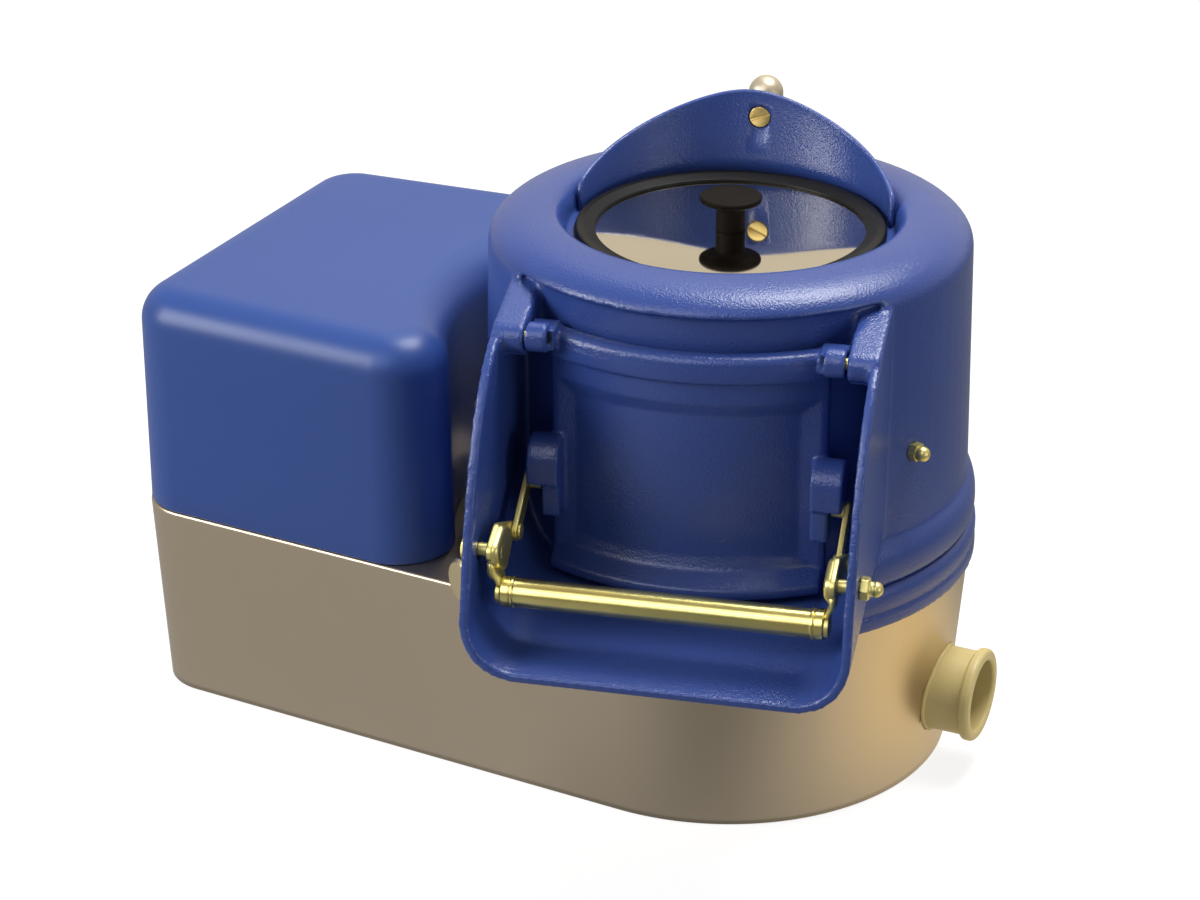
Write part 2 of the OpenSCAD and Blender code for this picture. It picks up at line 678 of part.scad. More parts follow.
module handle_plates() color(zinc) at_chute() both_sides() difference() {
    union() {
        cross_plate(plate_in, plate_out)
            polygon(round_outline([[rivet_u, rivet_z], crank_low, crank_end, crank_top], crank_r));
        // Stem with its joggle down to the bar
        cross_plate(plate_in, plate_out) polygon([[pivot_u - 7, pivot_z], [pivot_u + 7, pivot_z],
            [pivot_u + 6, pivot_z - 10], [pivot_u - 6, pivot_z - 10]]);
        translate([0, -pivot_u - 6, 0]) rotate([-90, 0, 0]) linear_extrude(12) polygon([
            [plate_in, -pivot_z + 8], [plate_out, -pivot_z + 8], [plate_out, -pivot_z + 10],
            [foot_in + plate_steel, -pivot_z + bar_drop - 5], [foot_in + plate_steel, -pivot_z + bar_drop],
            [foot_in, -pivot_z + bar_drop], [foot_in, -pivot_z + bar_drop - 7]]);
        cross_pin(pivot_u, pivot_z - bar_drop, 6.5, foot_in, foot_in + plate_steel);
    }
    cross_pin(pivot_u, pivot_z, 4 + run, plate_in - 1, plate_out + 1);
    cross_pin(rivet_u, rivet_z, 2.51, plate_in - 1, plate_out + 1);
}

module handle_bar() color(zinc) at_chute() {
    cross_pin(pivot_u, pivot_z - bar_drop, bar_r, -foot_in, foot_in);
    both_sides() cross_pin(pivot_u, pivot_z - bar_drop, bar_r + 0.8, foot_in - 3.5, foot_in - 0.5);
}

module handle_rivets() color(zinc) at_chute() both_sides() {
    cross_pin(rivet_u, rivet_z, 2.5, link_in - 1.2, plate_out + 0.5);
    cross_pin(rivet_u, rivet_z, 4.2, link_in - 1.6, link_in - 0.15);
    cross_pin(rivet_u, rivet_z, 4.2, plate_out + 0.02, plate_out + 1.5);
}

// Latch link: a flat strip on the rivet, with a round tip that bears up
// into the groove under the door's boss
module latch_links() color(zinc) at_chute() both_sides() difference() {
    cross_plate(link_in, link_out) {
        strap([rivet_u, rivet_z], [tip_u, tip_z], 5);
    }
    cross_pin(rivet_u, rivet_z, 2.5 + run, link_in - 1, link_out + 1);
    cross_pin(tip_u, tip_z, 2.51, link_in - 1, link_out + 1);
}

module latch_tips() color(zinc) at_chute() both_sides() {
    cross_pin(tip_u, tip_z, 2.5, link_in - 1, link_out);
    cross_pin(tip_u, tip_z, tip_r, half_door + 4, link_in - 0.02);
}

// ---- Lid ----

lid_z = seat_z + 2;

module lid_plate() color("silver") difference() {
    union() {
        translate([0, 0, lid_z - 2]) cylinder(r = lid_r, h = 2);
        translate([0, 0, lid_z - 10]) difference() {
            cylinder(r = lid_r - 1, h = 9);
            translate([0, 0, -1]) cylinder(r = lid_r - 3, h = 9.5);
        }
    }
    translate([0, 0, lid_z - 5]) cylinder(r = 2.5 + run, h = 10);
}

module lid_seal() color(rubber) rotate_extrude() polygon(concat(
    [[lid_r + 0.02, seat_z + gap], [seal_r - 2, seat_z + gap]],
    arc([seal_r - 2, seat_z + 3.3], 2, -90, 90, 6),
    [[lid_r + 2, lid_z + 2.2], [lid_r - 1.5, lid_z + 1.2], [lid_r - 1.5, lid_z + 0.02], [lid_r + 0.02, lid_z + 0.02]]));

module lid_knob() color(rubber) difference() {
    rotate_extrude() polygon(concat([[0, lid_z + 0.02], [7.8, lid_z + 0.02],
        [7.6, lid_z + knob_height - 9]],
        bend([8.2, lid_z + knob_height - 6], [9, lid_z + knob_height - 5], [knob_r - 1, lid_z + knob_height - 4], 4),
        bend([knob_r, lid_z + knob_height - 3], [knob_r, lid_z + knob_height - 0.5], [0, lid_z + knob_height], 6)));
    translate([0, 0, lid_z - 1]) cylinder(r = 2.5 + run, h = 9);
}

module lid_screw() color(zinc) {
    translate([0, 0, lid_z - 4.5]) cylinder(r1 = 4.5, r2 = 5.2, h = 2.2);
    translate([0, 0, lid_z - 4]) cylinder(r = 2.5, h = 11);
}

// ---- Splash guard and water inlet ----

guard_r = mouth_r - 0.4;
guard_foot = seat_z + gap;
guard_half = 78;
guard_turn = -4;
inlet_u = guard_r + 16;
inlet_top = seat_z + guard_height - 2;

// Height of the guard's edge at the angle a from its crest
function guard_edge(a) = seat_z + guard_height - 0.52 * (sqrt(a * a + 196) - 14);

module at_back() rotate([0, 0, chute_turn + 180]) children();

module splash_guard() color(blue) at_back() difference() {
    intersection() {
        difference() {
            translate([0, 0, guard_foot]) cylinder(r = guard_r, h = 80);
            cylinder(r = guard_r - guard_wall, h = 400);
        }
        rotate([90, 0, guard_turn]) linear_extrude(120) polygon(concat(
            [[guard_r * sin(guard_half), guard_foot], [-guard_r * sin(guard_half), guard_foot],
             [-guard_r * sin(guard_half), guard_edge(guard_half) - 5]],
            [for (k = [-12:12]) let (a = k * (guard_half - 2) / 12) [guard_r * sin(a), guard_edge(a)]],
            [[guard_r * sin(guard_half), guard_edge(guard_half) - 5]]));
    }
    translate([0, 0, guard_screw_z]) rotate([90, 0, 0]) {
        cylinder(r = 2.5 + run, h = 120);
        translate([0, 0, screw_face - 1]) cylinder(r = 6.3, h = 2.67);
    }
}
guard_screw_z = seat_z + 35;
screw_face = guard_r - guard_wall - 0.1;

// Slotted screw, its head sunk flush with the guard's inner face
module guard_screw() color(zinc) at_back() translate([0, -screw_face, guard_screw_z]) rotate([90, 0, 0]) difference() {
    union() {
        cylinder(r1 = 5.4, r2 = 5.8, h = 0.4);
        translate([0, 0, 0.4]) cylinder(r = 5.8, h = 1.25);
        translate([0, 0, 1.4]) cylinder(r = 2.5, h = 11);
    }
    rotate([0, 0, -25]) translate([-7, -0.6, -3]) cube([14, 1.2, 3.9]);
}

// Cast elbow on the outside of the guard: domed body, hose tail pointing back
// and down
tail_z = guard_screw_z - 3;
tail_fall = 25;
module water_inlet() color("#b9b39a") at_back() difference() {
    union() {
        translate([0, -inlet_u, guard_screw_z - 9]) cylinder(r = 9.5, h = inlet_top - guard_screw_z + 4);
        translate([0, -inlet_u, inlet_top - 5]) sphere(9.5, $fn = 48);
        translate([-8, -inlet_u, guard_screw_z - 9]) cube([16, inlet_u - guard_r - 0.2, 18]);
        translate([0, -inlet_u, tail_z]) rotate([90 + tail_fall, 0, 0]) cylinder(r = 7.5, h = 12);
        translate([0, -inlet_u, tail_z]) rotate([90 + tail_fall, 0, 0]) cylinder(r = inlet_r, h = 32);
    }
    translate([0, -guard_r + 1, guard_screw_z]) rotate([90, 0, 0]) cylinder(r = 2.5 + run, h = 12);
    translate([0, -inlet_u, tail_z]) rotate([90 + tail_fall, 0, 0]) translate([0, 0, 9]) cylinder(r = inlet_r - 1.5, h = 40);
}

// ---- Waste ----

waste_in = base_bottom_r - 12;

module waste_outlet() color(beige) translate([0, 0, waste_z]) rotate([0, 90, 0]) difference() {
    union() {
        translate([0, 0, waste_in]) cylinder(r = waste_r - 1.5, h = 8);
        translate([0, 0, waste_in + 7]) cylinder(r = waste_r, h = waste_reach - waste_in - 7);
        translate([0, 0, waste_reach - 6]) cylinder(r1 = waste_r + 1.2, r2 = waste_r + 3, h = 2);
        translate([0, 0, waste_reach - 4]) cylinder(r = waste_r + 3, h = 4);
    }
    translate([0, 0, waste_in - 1]) cylinder(r = waste_bore_r, h = 100);
}

elbow_bend = 28;

module drain_elbow() color(rubber) {
    in_r = drain_r + 3.05;
    top = bowl_floor - 8;
    difference() {
        union() {
            translate([drain_x, 0, waste_z + elbow_bend]) cylinder(r = in_r + 2.5, h = top - waste_z - elbow_bend);
            translate([drain_x + elbow_bend, 0, waste_z + elbow_bend]) rotate([90, 0, 0])
                rotate_extrude(angle = 90, start = 180) translate([elbow_bend, 0]) circle(in_r + 2.5);
            translate([drain_x + elbow_bend, 0, waste_z]) rotate([0, 90, 0])
                cylinder(r = in_r + 2.5, h = waste_in + 7 - drain_x - elbow_bend);
        }
        translate([drain_x, 0, waste_z + elbow_bend]) cylinder(r = in_r, h = 100);
        translate([drain_x + elbow_bend, 0, waste_z + elbow_bend]) rotate([90, 0, 0])
            rotate_extrude(angle = 90, start = 180) translate([elbow_bend, 0]) circle(in_r - 1);
        translate([drain_x + elbow_bend - 0.5, 0, waste_z]) rotate([0, 90, 0]) cylinder(r = waste_r - 1.45, h = 30);
    }
}

// ---- Spindle ----

housing_r = 24;
bearing_r = 20;
housing_low = base_height - 63;
bearing_h = 12;
pulley_z = 26;
pulley_h = 14;
plate_z = ring_top + 3;

module spindle_housing() color(cast_grey) difference() {
    union() {
        translate([0, 0, housing_low]) cylinder(r = housing_r, h = bowl_floor - bowl_wall - gap - housing_low);
        translate([0, 0, bowl_floor - bowl_wall - gap - 7]) cylinder(r = 42, h = 7);
        translate([0, 0, bowl_floor - bowl_wall - gap - 1]) cylinder(r = hub_r - 6.3, h = 24);
    }
    translate([0, 0, housing_low - 1]) cylinder(r = spindle_r + 3, h = 100);
    for (z = bearing_floors) translate([0, 0, z]) cylinder(r = bearing_r, h = bearing_h + 0.01);
    translate([0, 0, housing_low - 1]) cylinder(r = bearing_r, h = 1.01 + bearing_h);
    translate([0, 0, seal_z]) cylinder(r = seal_out_r, h = 30);
}
seal_out_r = 18;
seal_z = bowl_floor + 10;
bearing_floors = [housing_low, housing_low + 24];

module spindle_bearings() color("silver") for (z = bearing_floors) translate([0, 0, z]) difference() {
    cylinder(r = bearing_r - 0.02, h = bearing_h);
    translate([0, 0, -1]) cylinder(r = spindle_r + run, h = 20);
}

module shaft_seal() color(rubber) translate([0, 0, seal_z + 0.02]) difference() {
    cylinder(r = seal_out_r - 0.02, h = 7);
    translate([0, 0, -1]) cylinder(r = spindle_r + run, h = 20);
}

module spindle() color("silver") {
    translate([0, 0, pulley_z - 4]) cylinder(r = spindle_r, h = plate_z - pulley_z + 2);
    translate([-6, -6, plate_z - 3]) cube([12, 12, 8]);
}

// Peeling plate: hub, disc and two smooth swells on top
module peeling_plate() color("#77736c") difference() {
    union() {
        translate([0, 0, plate_z]) cylinder(r = plate_r, h = 5);
        translate([0, 0, ring_top - 7]) cylinder(r = 17, h = 11);
        for (a = [0, 180]) rotate([0, 0, a]) translate([58, 0, plate_z + 5]) intersection() {
            translate([0, 0, -52]) sphere(60, $fn = 64);
            translate([-60, -60, -0.5]) cube([120, 120, 30]);
        }
    }
    translate([0, 0, ring_top - 8]) cylinder(r = spindle_r + 0.05, h = plate_z - ring_top + 6);
    translate([-6.05, -6.05, plate_z - 3]) cube([12.1, 12.1, 8.05]);
}

// Profile of a pulley with a V groove
module pulley(r, bore, h) difference() {
    rotate_extrude() polygon([[bore, 0], [r, 0], [r, 2], [r - 7, h / 2 - 1.5], [r - 7, h / 2 + 1.5],
        [r, h - 2], [r, h], [bore, h]]);
    if (r > 40) for (a = [0:60:300]) rotate([0, 0, a]) translate([(r + bore) / 2 - 2, 0, -1])
        cylinder(r = (r - bore) / 5, h = h + 2);
}

module spindle_pulley() color(cast_grey) translate([0, 0, pulley_z]) pulley(big_pulley_r, spindle_r + 0.02, pulley_h);

// ---- Motor ----

motor_z = 62;
motor_top = cover_top - cover_wall - 10;

module motor() color("#4b4f55") translate([-motor_x, 0, 0]) difference() {
    union() {
        translate([0, 0, motor_z]) cylinder(r = motor_r - 4, h = motor_top - motor_z);
        for (a = [0:15:345]) rotate([0, 0, a])
            translate([motor_r - 5, -1.2, motor_z + 12]) cube([5, 2.4, motor_top - motor_z - 40]);
        translate([0, 0, motor_top - 24]) cylinder(r = motor_r - 1, h = 20);
    }
    translate([0, 0, motor_z - 1]) cylinder(r = 8.3, h = motor_top - motor_z - 20);
}

module motor_bracket() color(cast_grey) difference() {
    union() {
        translate([-motor_x - 30, -88, motor_z - 5]) cube([92, 176, 4.98]);
        for (s = [-1, 1]) translate([-motor_x - 30, s * 86 - 2, plate_t + gap]) cube([92, 4, motor_z - plate_t - 3]);
    }
    translate([-motor_x, 0, motor_z - 10]) cylinder(r = 16, h = 20);
}

module motor_shaft() color("silver") translate([-motor_x, 0, pulley_z - 3])
    cylinder(r = 8, h = motor_top - 26 - pulley_z);

module motor_pulley() color(cast_grey) translate([-motor_x, 0, pulley_z]) pulley(small_pulley_r, 8.02, pulley_h);

// Belt: the outer tangent loop round both pulleys less the loop inside it
belt_w = 6;
module belt_loop(r_big, r_small, h) {
    lean = asin((r_big - r_small) / motor_x);
    cylinder(r = r_big, h = h);
    translate([-motor_x, 0, 0]) cylinder(r = r_small, h = h);
    linear_extrude(h) polygon([[-r_big * sin(lean), r_big * cos(lean)],
        [-motor_x - r_small * sin(lean), r_small * cos(lean)],
        [-motor_x - r_small * sin(lean), -r_small * cos(lean)],
        [-r_big * sin(lean), -r_big * cos(lean)]]);
}
module drive_belt() color(rubber) translate([0, 0, pulley_z + pulley_h / 2]) difference() {
    translate([0, 0, -1.4]) belt_loop(big_pulley_r - 6.7 + belt_w, small_pulley_r - 6.7 + belt_w, 2.8);
    translate([0, 0, -2]) belt_loop(big_pulley_r - 6.7, small_pulley_r - 6.7, 4);
}

base_shell();
base_plate();
base_plate_screws();
motor_cover();
cover_screws();
switch_plate();
start_button();
stop_button();
cable_gland();
base_ring();
drum();
drum_studs();
wall_liner();
clamp_screw();
clamp_knob();
hinge_pins();
pivot_studs();
pivot_nuts();
door();
door_gasket();
handle_plates();
handle_bar();
handle_rivets();
latch_links();
latch_tips();
lid_plate();
lid_seal();
lid_knob();
lid_screw();
splash_guard();
guard_screw();
water_inlet();
waste_outlet();
drain_elbow();
spindle_housing();
spindle_bearings();
shaft_seal();
spindle();
peeling_plate();
spindle_pulley();
motor();
motor_bracket();
motor_shaft();
motor_pulley();
drive_belt();
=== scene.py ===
import math
from contextlib import contextmanager

import bmesh
import bpy
import numpy as np
from mathutils import Matrix


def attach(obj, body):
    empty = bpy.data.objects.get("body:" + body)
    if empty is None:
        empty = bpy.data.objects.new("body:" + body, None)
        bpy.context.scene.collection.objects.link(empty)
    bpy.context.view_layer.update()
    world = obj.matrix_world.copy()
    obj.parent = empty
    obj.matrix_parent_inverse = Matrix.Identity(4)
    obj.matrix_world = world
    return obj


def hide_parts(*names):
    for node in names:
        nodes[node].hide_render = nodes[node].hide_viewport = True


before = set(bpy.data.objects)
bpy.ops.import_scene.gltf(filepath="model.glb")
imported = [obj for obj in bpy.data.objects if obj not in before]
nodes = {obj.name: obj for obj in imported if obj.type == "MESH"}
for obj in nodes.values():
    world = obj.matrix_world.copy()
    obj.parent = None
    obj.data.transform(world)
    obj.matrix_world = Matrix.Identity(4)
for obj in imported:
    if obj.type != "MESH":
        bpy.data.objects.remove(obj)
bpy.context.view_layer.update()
MM = 0.001

# ---- Camera: where the object is looked at from ----
# A long lens in front of the peeler, a little to its right and above it. The
# place and the angles are in the same frame as the part.
CAMERA_PLACE = (0.56635, -1.35080, 0.84999)
AZIMUTH, ELEVATION, ROLL = map(math.radians, (25.42, 25.29, -0.19))
LENS, SENSOR, SIGHT_END = 90.07, 36.0, 20.0
back = np.array([
    math.sin(AZIMUTH) * math.cos(ELEVATION),
    -math.cos(AZIMUTH) * math.cos(ELEVATION),
    math.sin(ELEVATION),
])
level = np.array([math.cos(AZIMUTH), math.sin(AZIMUTH), 0.0])
above = np.cross(back, level)
right = math.cos(ROLL) * level + math.sin(ROLL) * above
upward = math.cos(ROLL) * above - math.sin(ROLL) * level


def unit(vector):
    """The direction of a vector, or of each row of vectors, one long."""
    return vector / np.linalg.norm(vector, axis=-1, keepdims=True)


def frame_at(place, *axes):
    """The 4 by 4 frame at place with three axes."""
    pose = np.eye(4)
    pose[:3, :3], pose[:3, 3] = np.column_stack(axes), place
    return pose


def into_scene(name, data):
    """A new object of that data, linked into the scene."""
    made = bpy.data.objects.new(name, data)
    bpy.context.scene.collection.objects.link(made)
    return made


camera_data = bpy.data.cameras.new("camera")
camera_data.lens = LENS
camera_data.sensor_width = SENSOR
camera_data.clip_end = SIGHT_END
camera = into_scene("camera", camera_data)
camera.matrix_world = Matrix(frame_at(CAMERA_PLACE, right, upward, back).tolist())
bpy.context.scene.camera = camera


# ---- Floor and daylight tent: plain pale ground under soft lights ----
# The floor is a white sweep that still takes the peeler's shadow. Shiny metal
# and enamel see warm walls round it: dim in front, bright behind and beside.
class Wire:
    """One output socket; an expression on wires adds a Math node for each operator."""

    def __init__(self, tree, out):
        self.tree, self.out = tree, out

    def math(self, operation, *values):
        return add(self.tree, "Math", list(values), operation=operation)

    def __add__(self, other):
        return self.math("ADD", self, other)

    def __sub__(self, other):
        return self.math("SUBTRACT", self, other)

    def __rsub__(self, other):
        return self.math("SUBTRACT", other, self)

    def __mul__(self, other):
        return self.math("MULTIPLY", self, other)

    def __truediv__(self, other):
        return self.math("DIVIDE", self, other)

    def __pow__(self, other):
        return self.math("POWER", self, other)

    __radd__ = __add__
    __rmul__ = __mul__

    def held(self, low=0.0, high=1.0):
        return self.math("MINIMUM", self.math("MAXIMUM", self, low), high)


def add(tree, kind, inputs=(), out=0, **settings):
    """A shader node of that kind: settings first, then each input's value or wire, by place or name."""
    node = tree.nodes.new("ShaderNode" + kind)
    for key, value in settings.items():
        setattr(node, key, value)
    pairs = inputs.items() if isinstance(inputs, dict) else enumerate(inputs)
    for key, value in pairs:
        if isinstance(value, Wire):
            tree.links.new(value.out, node.inputs[key])
        elif value is not None:
            socket = node.inputs[key]
            if socket.type == "RGBA" and len(value) == 3:
                value = (*value, 1.0)
            socket.default_value = value
    return Wire(tree, node.outputs[out])


def blend_colour(tree, factor, low, high):
    """The colour low where the factor is 0, high where it is 1."""
    return add(tree, "Mix", {0: factor, 6: low, 7: high}, out=2, data_type="RGBA")


def blank_material(name):
    """A material with no nodes, and its tree."""
    material = bpy.data.materials.new(name)
    material.use_nodes = True
    material.node_tree.nodes.clear()
    return material, material.node_tree


def show(tree, shader):
    """The shader becomes the material's surface."""
    tree.links.new(shader.out, tree.nodes.new("ShaderNodeOutputMaterial").inputs["Surface"])


def ray_kinds(tree):
    """Whether a ray comes straight from the camera, and whether off a shiny surface."""
    return [add(tree, "LightPath", out=kind) for kind in ("Is Camera Ray", "Is Glossy Ray")]


def toward(tree, sight, heading):
    """Cosine between the line of sight and a heading."""
    return add(tree, "VectorMath", [sight, heading], out="Value", operation="DOT_PRODUCT")


# The camera sees the floor glow, less its own shade. Shiny pieces see it dimmer
# to the right, with a warm patch before the round end of the base.
WHITE, FLOOR_WHITE = (1.0, 1.0, 1.0), (0.86, 0.86, 0.86)
FLOOR_NEUTRAL, FLOOR_WARM = (0.98, 0.97, 0.95), (1.0, 0.79, 0.41)
SHADE_LOST, FLOOR_GLOW, FLOOR_HALF, FLOOR_DROP = 0.62, 0.82, 6, 0.0006
WARM_PATCH, WARM_REACH = (0.26, 0.02, 0.0), 0.30
SHINE_MIDDLE, SHINE_FALL, SHINE_LEAST, SHINE_MOST = 0.34, 1.6, 0.25, 0.46
floor_material, tree = blank_material("floor_white")
dark = add(tree, "Emission", [WHITE, 0.0])
shadowed = add(tree, "MixShader", [SHADE_LOST, add(tree, "BsdfDiffuse", [FLOOR_WHITE]), dark])
spot = add(tree, "TexCoord", out="Object")
spot_x = add(tree, "SeparateXYZ", [spot], out="X")
from_patch = add(tree, "VectorMath", [spot, WARM_PATCH], out="Value", operation="DISTANCE")
patch = (1.0 - from_patch / WARM_REACH).held()
patch = patch * patch * (3.0 - patch * 2.0)
shine = (SHINE_MIDDLE - spot_x * SHINE_FALL).held(SHINE_LEAST, SHINE_MOST) + patch
mirrored = add(tree, "Emission", [blend_colour(tree, patch, FLOOR_NEUTRAL, FLOOR_WARM), shine])
glowing = add(tree, "Emission", [WHITE, FLOOR_GLOW])
by_camera, by_mirror = ray_kinds(tree)
seen = add(tree, "AddShader", [shadowed, add(tree, "MixShader", [by_camera, dark, glowing])])
show(tree, add(tree, "MixShader", [by_mirror, seen, mirrored]))
floor_mesh = bpy.data.meshes.new("floor")
floor_corners = [(x * FLOOR_HALF, y * FLOOR_HALF, 0) for x, y in ((-1, -1), (1, -1), (1, 1), (-1, 1))]
floor_mesh.from_pydata(floor_corners, [], [(0, 1, 2, 3)])
floor_mesh.materials.append(floor_material)
floor = into_scene("floor", floor_mesh)
floor.location.z = -FLOOR_DROP

# Round the floor: plain white to the camera, an even pale light on the pieces,
# and in their shine warm walls that brighten behind and one window in front.
AMBIENT, DIM_WALL, WALL_LIGHT = 0.20, 0.14, 0.66
WALL_WARM, BEHIND = (1.0, 0.89, 0.68), (0.0, 0.94, 0.34)
WINDOW, WINDOW_COSINE, WINDOW_EDGE, WINDOW_LIGHT = (-0.12, -0.775, 0.62), 0.885, 12.0, 2.6
world = bpy.data.worlds.new("tent")
world.use_nodes = True
world.node_tree.nodes.clear()
tree = world.node_tree
sight = add(tree, "TexCoord", out="Generated")
behind = (toward(tree, sight, BEHIND) * 0.5 + 0.5).held()
window = ((toward(tree, sight, WINDOW) - WINDOW_COSINE) * WINDOW_EDGE).held()
walls = add(tree, "Background", [
    blend_colour(tree, window, WALL_WARM, WHITE),
    behind * behind * WALL_LIGHT + DIM_WALL + window * WINDOW_LIGHT,
])
lit = add(tree, "Background", [(1.0, 0.96, 1.0), AMBIENT])
plain = add(tree, "Background", [WHITE, 1.0])
by_camera, by_mirror = ray_kinds(tree)
mixed = add(tree, "MixShader", [by_camera, add(tree, "MixShader", [by_mirror, lit, walls]), plain])
tree.links.new(mixed.out, tree.nodes.new("ShaderNodeOutputWorld").inputs["Surface"])
bpy.context.scene.world = world
bpy.context.scene.view_settings.view_transform = "Standard"


def lamp(name, place, aim, size, watts, colour=WHITE):
    """A square soft light at place that faces aim."""
    data = bpy.data.lights.new(name, "AREA")
    data.shape, data.size, data.energy, data.color = "SQUARE", size, watts, colour
    away = unit(np.subtract(place, aim))
    side = unit(np.cross([0.0, 0.0, 1.0] if abs(away[2]) < 0.99 else [0.0, 1.0, 0.0], away))
    into_scene(name, data).matrix_world = Matrix(frame_at(place, side, np.cross(away, side), away).tolist())


lamp("top_light", (0.25, 0.42, 1.66), (0.0, 0.0, 0.25), 0.8, 25.0)
lamp("key_light", (-1.6, -1.5, 1.1), (0.0, 0.0, 0.15), 1.1, 36.0)
lamp("back_light", (-0.53, 0.88, 1.62), (-0.05, 0.0, 0.25), 0.8, 2.2, (0.90, 0.96, 1.0))
lamp("right_light", (1.9, -0.5, 0.6), (0.05, 0.0, 0.2), 0.9, 6.0)


# ---- Base housing: folded satin stainless sheet under everything ----
# One sheet of 1.5 mm stainless, drawn round the drum end and folded at the
# deck. The deck is cut out for the bowl and the motor, the wall for the pipe.
BASE_TOP_R, BASE_LOW_R = 132.5 * MM, 124 * MM
BASE_LENGTH, BASE_HEIGHT = 308 * MM, 115 * MM
TAPER, CORNER_R, SHEET = math.radians(3), 32 * MM, 1.5 * MM
DECK_EDGE_R = 1.8 * MM


def arc(centre, radius, start, end, count):
    """Points on a circle about centre, from the angle start to the angle end in degrees."""
    angle = np.radians(np.linspace(start, end, count))
    return np.column_stack([centre[0] + radius * np.cos(angle), centre[1] + radius * np.sin(angle)])


def end_corner(radius):
    """Centre of the round corner at the motor end, on the side of -Y."""
    x = -BASE_LENGTH + CORNER_R
    return np.array([x, -(radius - CORNER_R + math.sin(TAPER) * x) / math.cos(TAPER)])


def straights(outline, cuts):
    """The closed outline, with the sides that start at the points named in cuts divided into that
    many equal parts: each part is a step of the same length along the side."""
    following = np.roll(outline, -1, axis=0)
    parts = np.ones(len(outline), int)
    for start, number in cuts.items():
        parts[start] = number
    start = np.repeat(outline, parts, axis=0)
    end = np.repeat(following, parts, axis=0)
    step = np.arange(parts.sum()) - np.repeat(np.cumsum(parts) - parts, parts)
    return start + (end - start) * (step / np.repeat(parts, parts))[:, None]


def wall_radius(z):
    """Radius of the base's round end at height z: it grows evenly from the bottom to the deck."""
    return BASE_LOW_R + (BASE_TOP_R - BASE_LOW_R) * z / BASE_HEIGHT


def base_outline(z, inset):
    """The base's plan at height z: a round end, sides that narrow, two round corners."""
    radius = wall_radius(z)
    corner, taper = end_corner(radius), math.degrees(TAPER)
    return straights(np.vstack([
        arc(corner, CORNER_R - inset, 180, 270 - taper, 20),
        arc((0, 0), radius - inset, 270 - taper, 450 + taper, 140),
        arc(corner * (1, -1), CORNER_R - inset, 90 + taper, 180, 20),
    ]), {19: 46, 159: 46, 179: 30})


def round_over(top, radius, steps, inset=0.0):
    """(height, inset) up a quarter circle of that radius that comes level at top."""
    return [
        (top - radius * (1 - math.sin(a)), inset + radius * (1 - math.cos(a)))
        for a in np.radians(np.linspace(0, 90, steps))[1:]
    ]


def grid_faces(rows, columns, wrap_rows=False, wrap_columns=True):
    """Four-cornered faces over a grid of points, closed round where wrap says so."""
    r = np.arange(rows if wrap_rows else rows - 1)[:, None]
    c = np.arange(columns if wrap_columns else columns - 1)[None, :]
    r1, c1 = (r + 1) % rows, (c + 1) % columns
    quads = [r * columns + c, r * columns + c1, r1 * columns + c1, r1 * columns + c]
    return np.stack([np.broadcast_to(q, (r.size, c.size)) for q in quads], -1).reshape(-1, 4)


def capped(rows, columns):
    """Faces of a tube over a grid of points, with one more face on either end."""
    ends = [list(range(columns)), list(range(rows * columns - 1, (rows - 1) * columns - 1, -1))]
    return grid_faces(rows, columns).tolist() + ends


@contextmanager
def edited(mesh, same_place):
    """The mesh for editing, its points that are that close merged; the changes are kept at the end."""
    work = bmesh.new()
    work.from_mesh(mesh)
    bmesh.ops.remove_doubles(work, verts=work.verts, dist=same_place)
    yield work
    work.to_mesh(mesh)
    work.free()


SAME_PLACE = 2e-6


def piece(name, points, faces, body, slot, finish, node=None):
    """A finished mesh object that rides on a CAD body, with its doubles merged and its faces outwards.
    It replaces the node, unless that waits until its holes are cut."""
    mesh = bpy.data.meshes.new(name)
    corners = np.asarray(points, float).reshape(-1, 3).tolist()
    mesh.from_pydata(corners, [], [list(map(int, face)) for face in faces])
    with edited(mesh, SAME_PLACE) as work:
        bmesh.ops.recalc_face_normals(work, faces=work.faces)
        for face in work.faces:
            face.smooth = True
    made = into_scene(name, mesh)
    mesh.materials.append(finish)
    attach(made, body)
    if node:
        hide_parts(node)
    return made


def settle(made):
    """The piece's modifiers are worked into its mesh."""
    bpy.context.view_layer.update()
    shaped = made.evaluated_get(bpy.context.evaluated_depsgraph_get())
    mesh = bpy.data.meshes.new_from_object(shaped)
    old, made.data = made.data, mesh
    made.modifiers.clear()
    bpy.data.meshes.remove(old)


def object_place(tree):
    """Where a point of the piece lies, in metres."""
    return add(tree, "TexCoord", out="Object")


def noise(tree, scale, detail, rough=0.5, place=None, stretch=None):
    """Cloudy noise from 0 to 1; stretch scales the pattern's axes."""
    place = place or object_place(tree)
    if stretch:
        place = add(tree, "Mapping", {"Vector": place, "Scale": stretch})
    return add(tree, "TexNoise", {"Vector": place, "Scale": scale, "Detail": detail, "Roughness": rough})


def mottled(scale, detail, low, high, stretch=None):
    """A colour that drifts in clouds between low and high."""
    return lambda tree: blend_colour(tree, noise(tree, scale, detail, stretch=stretch), low, high)


def uneven(base, *clouds):
    """A roughness of base plus clouds, each given as (swing, scale, detail) and maybe a stretch."""
    def roughness(tree):
        total = base
        for swing, scale, detail, *stretch in clouds:
            total = total + swing * noise(tree, scale, detail, stretch=stretch[0] if stretch else None)
        return total
    return roughness


def grained(scale, detail, depth, strength, stretch=None):
    """A bump from cloudy noise, as finish_of takes it."""
    return lambda tree: noise(tree, scale, detail, stretch=stretch), depth, strength


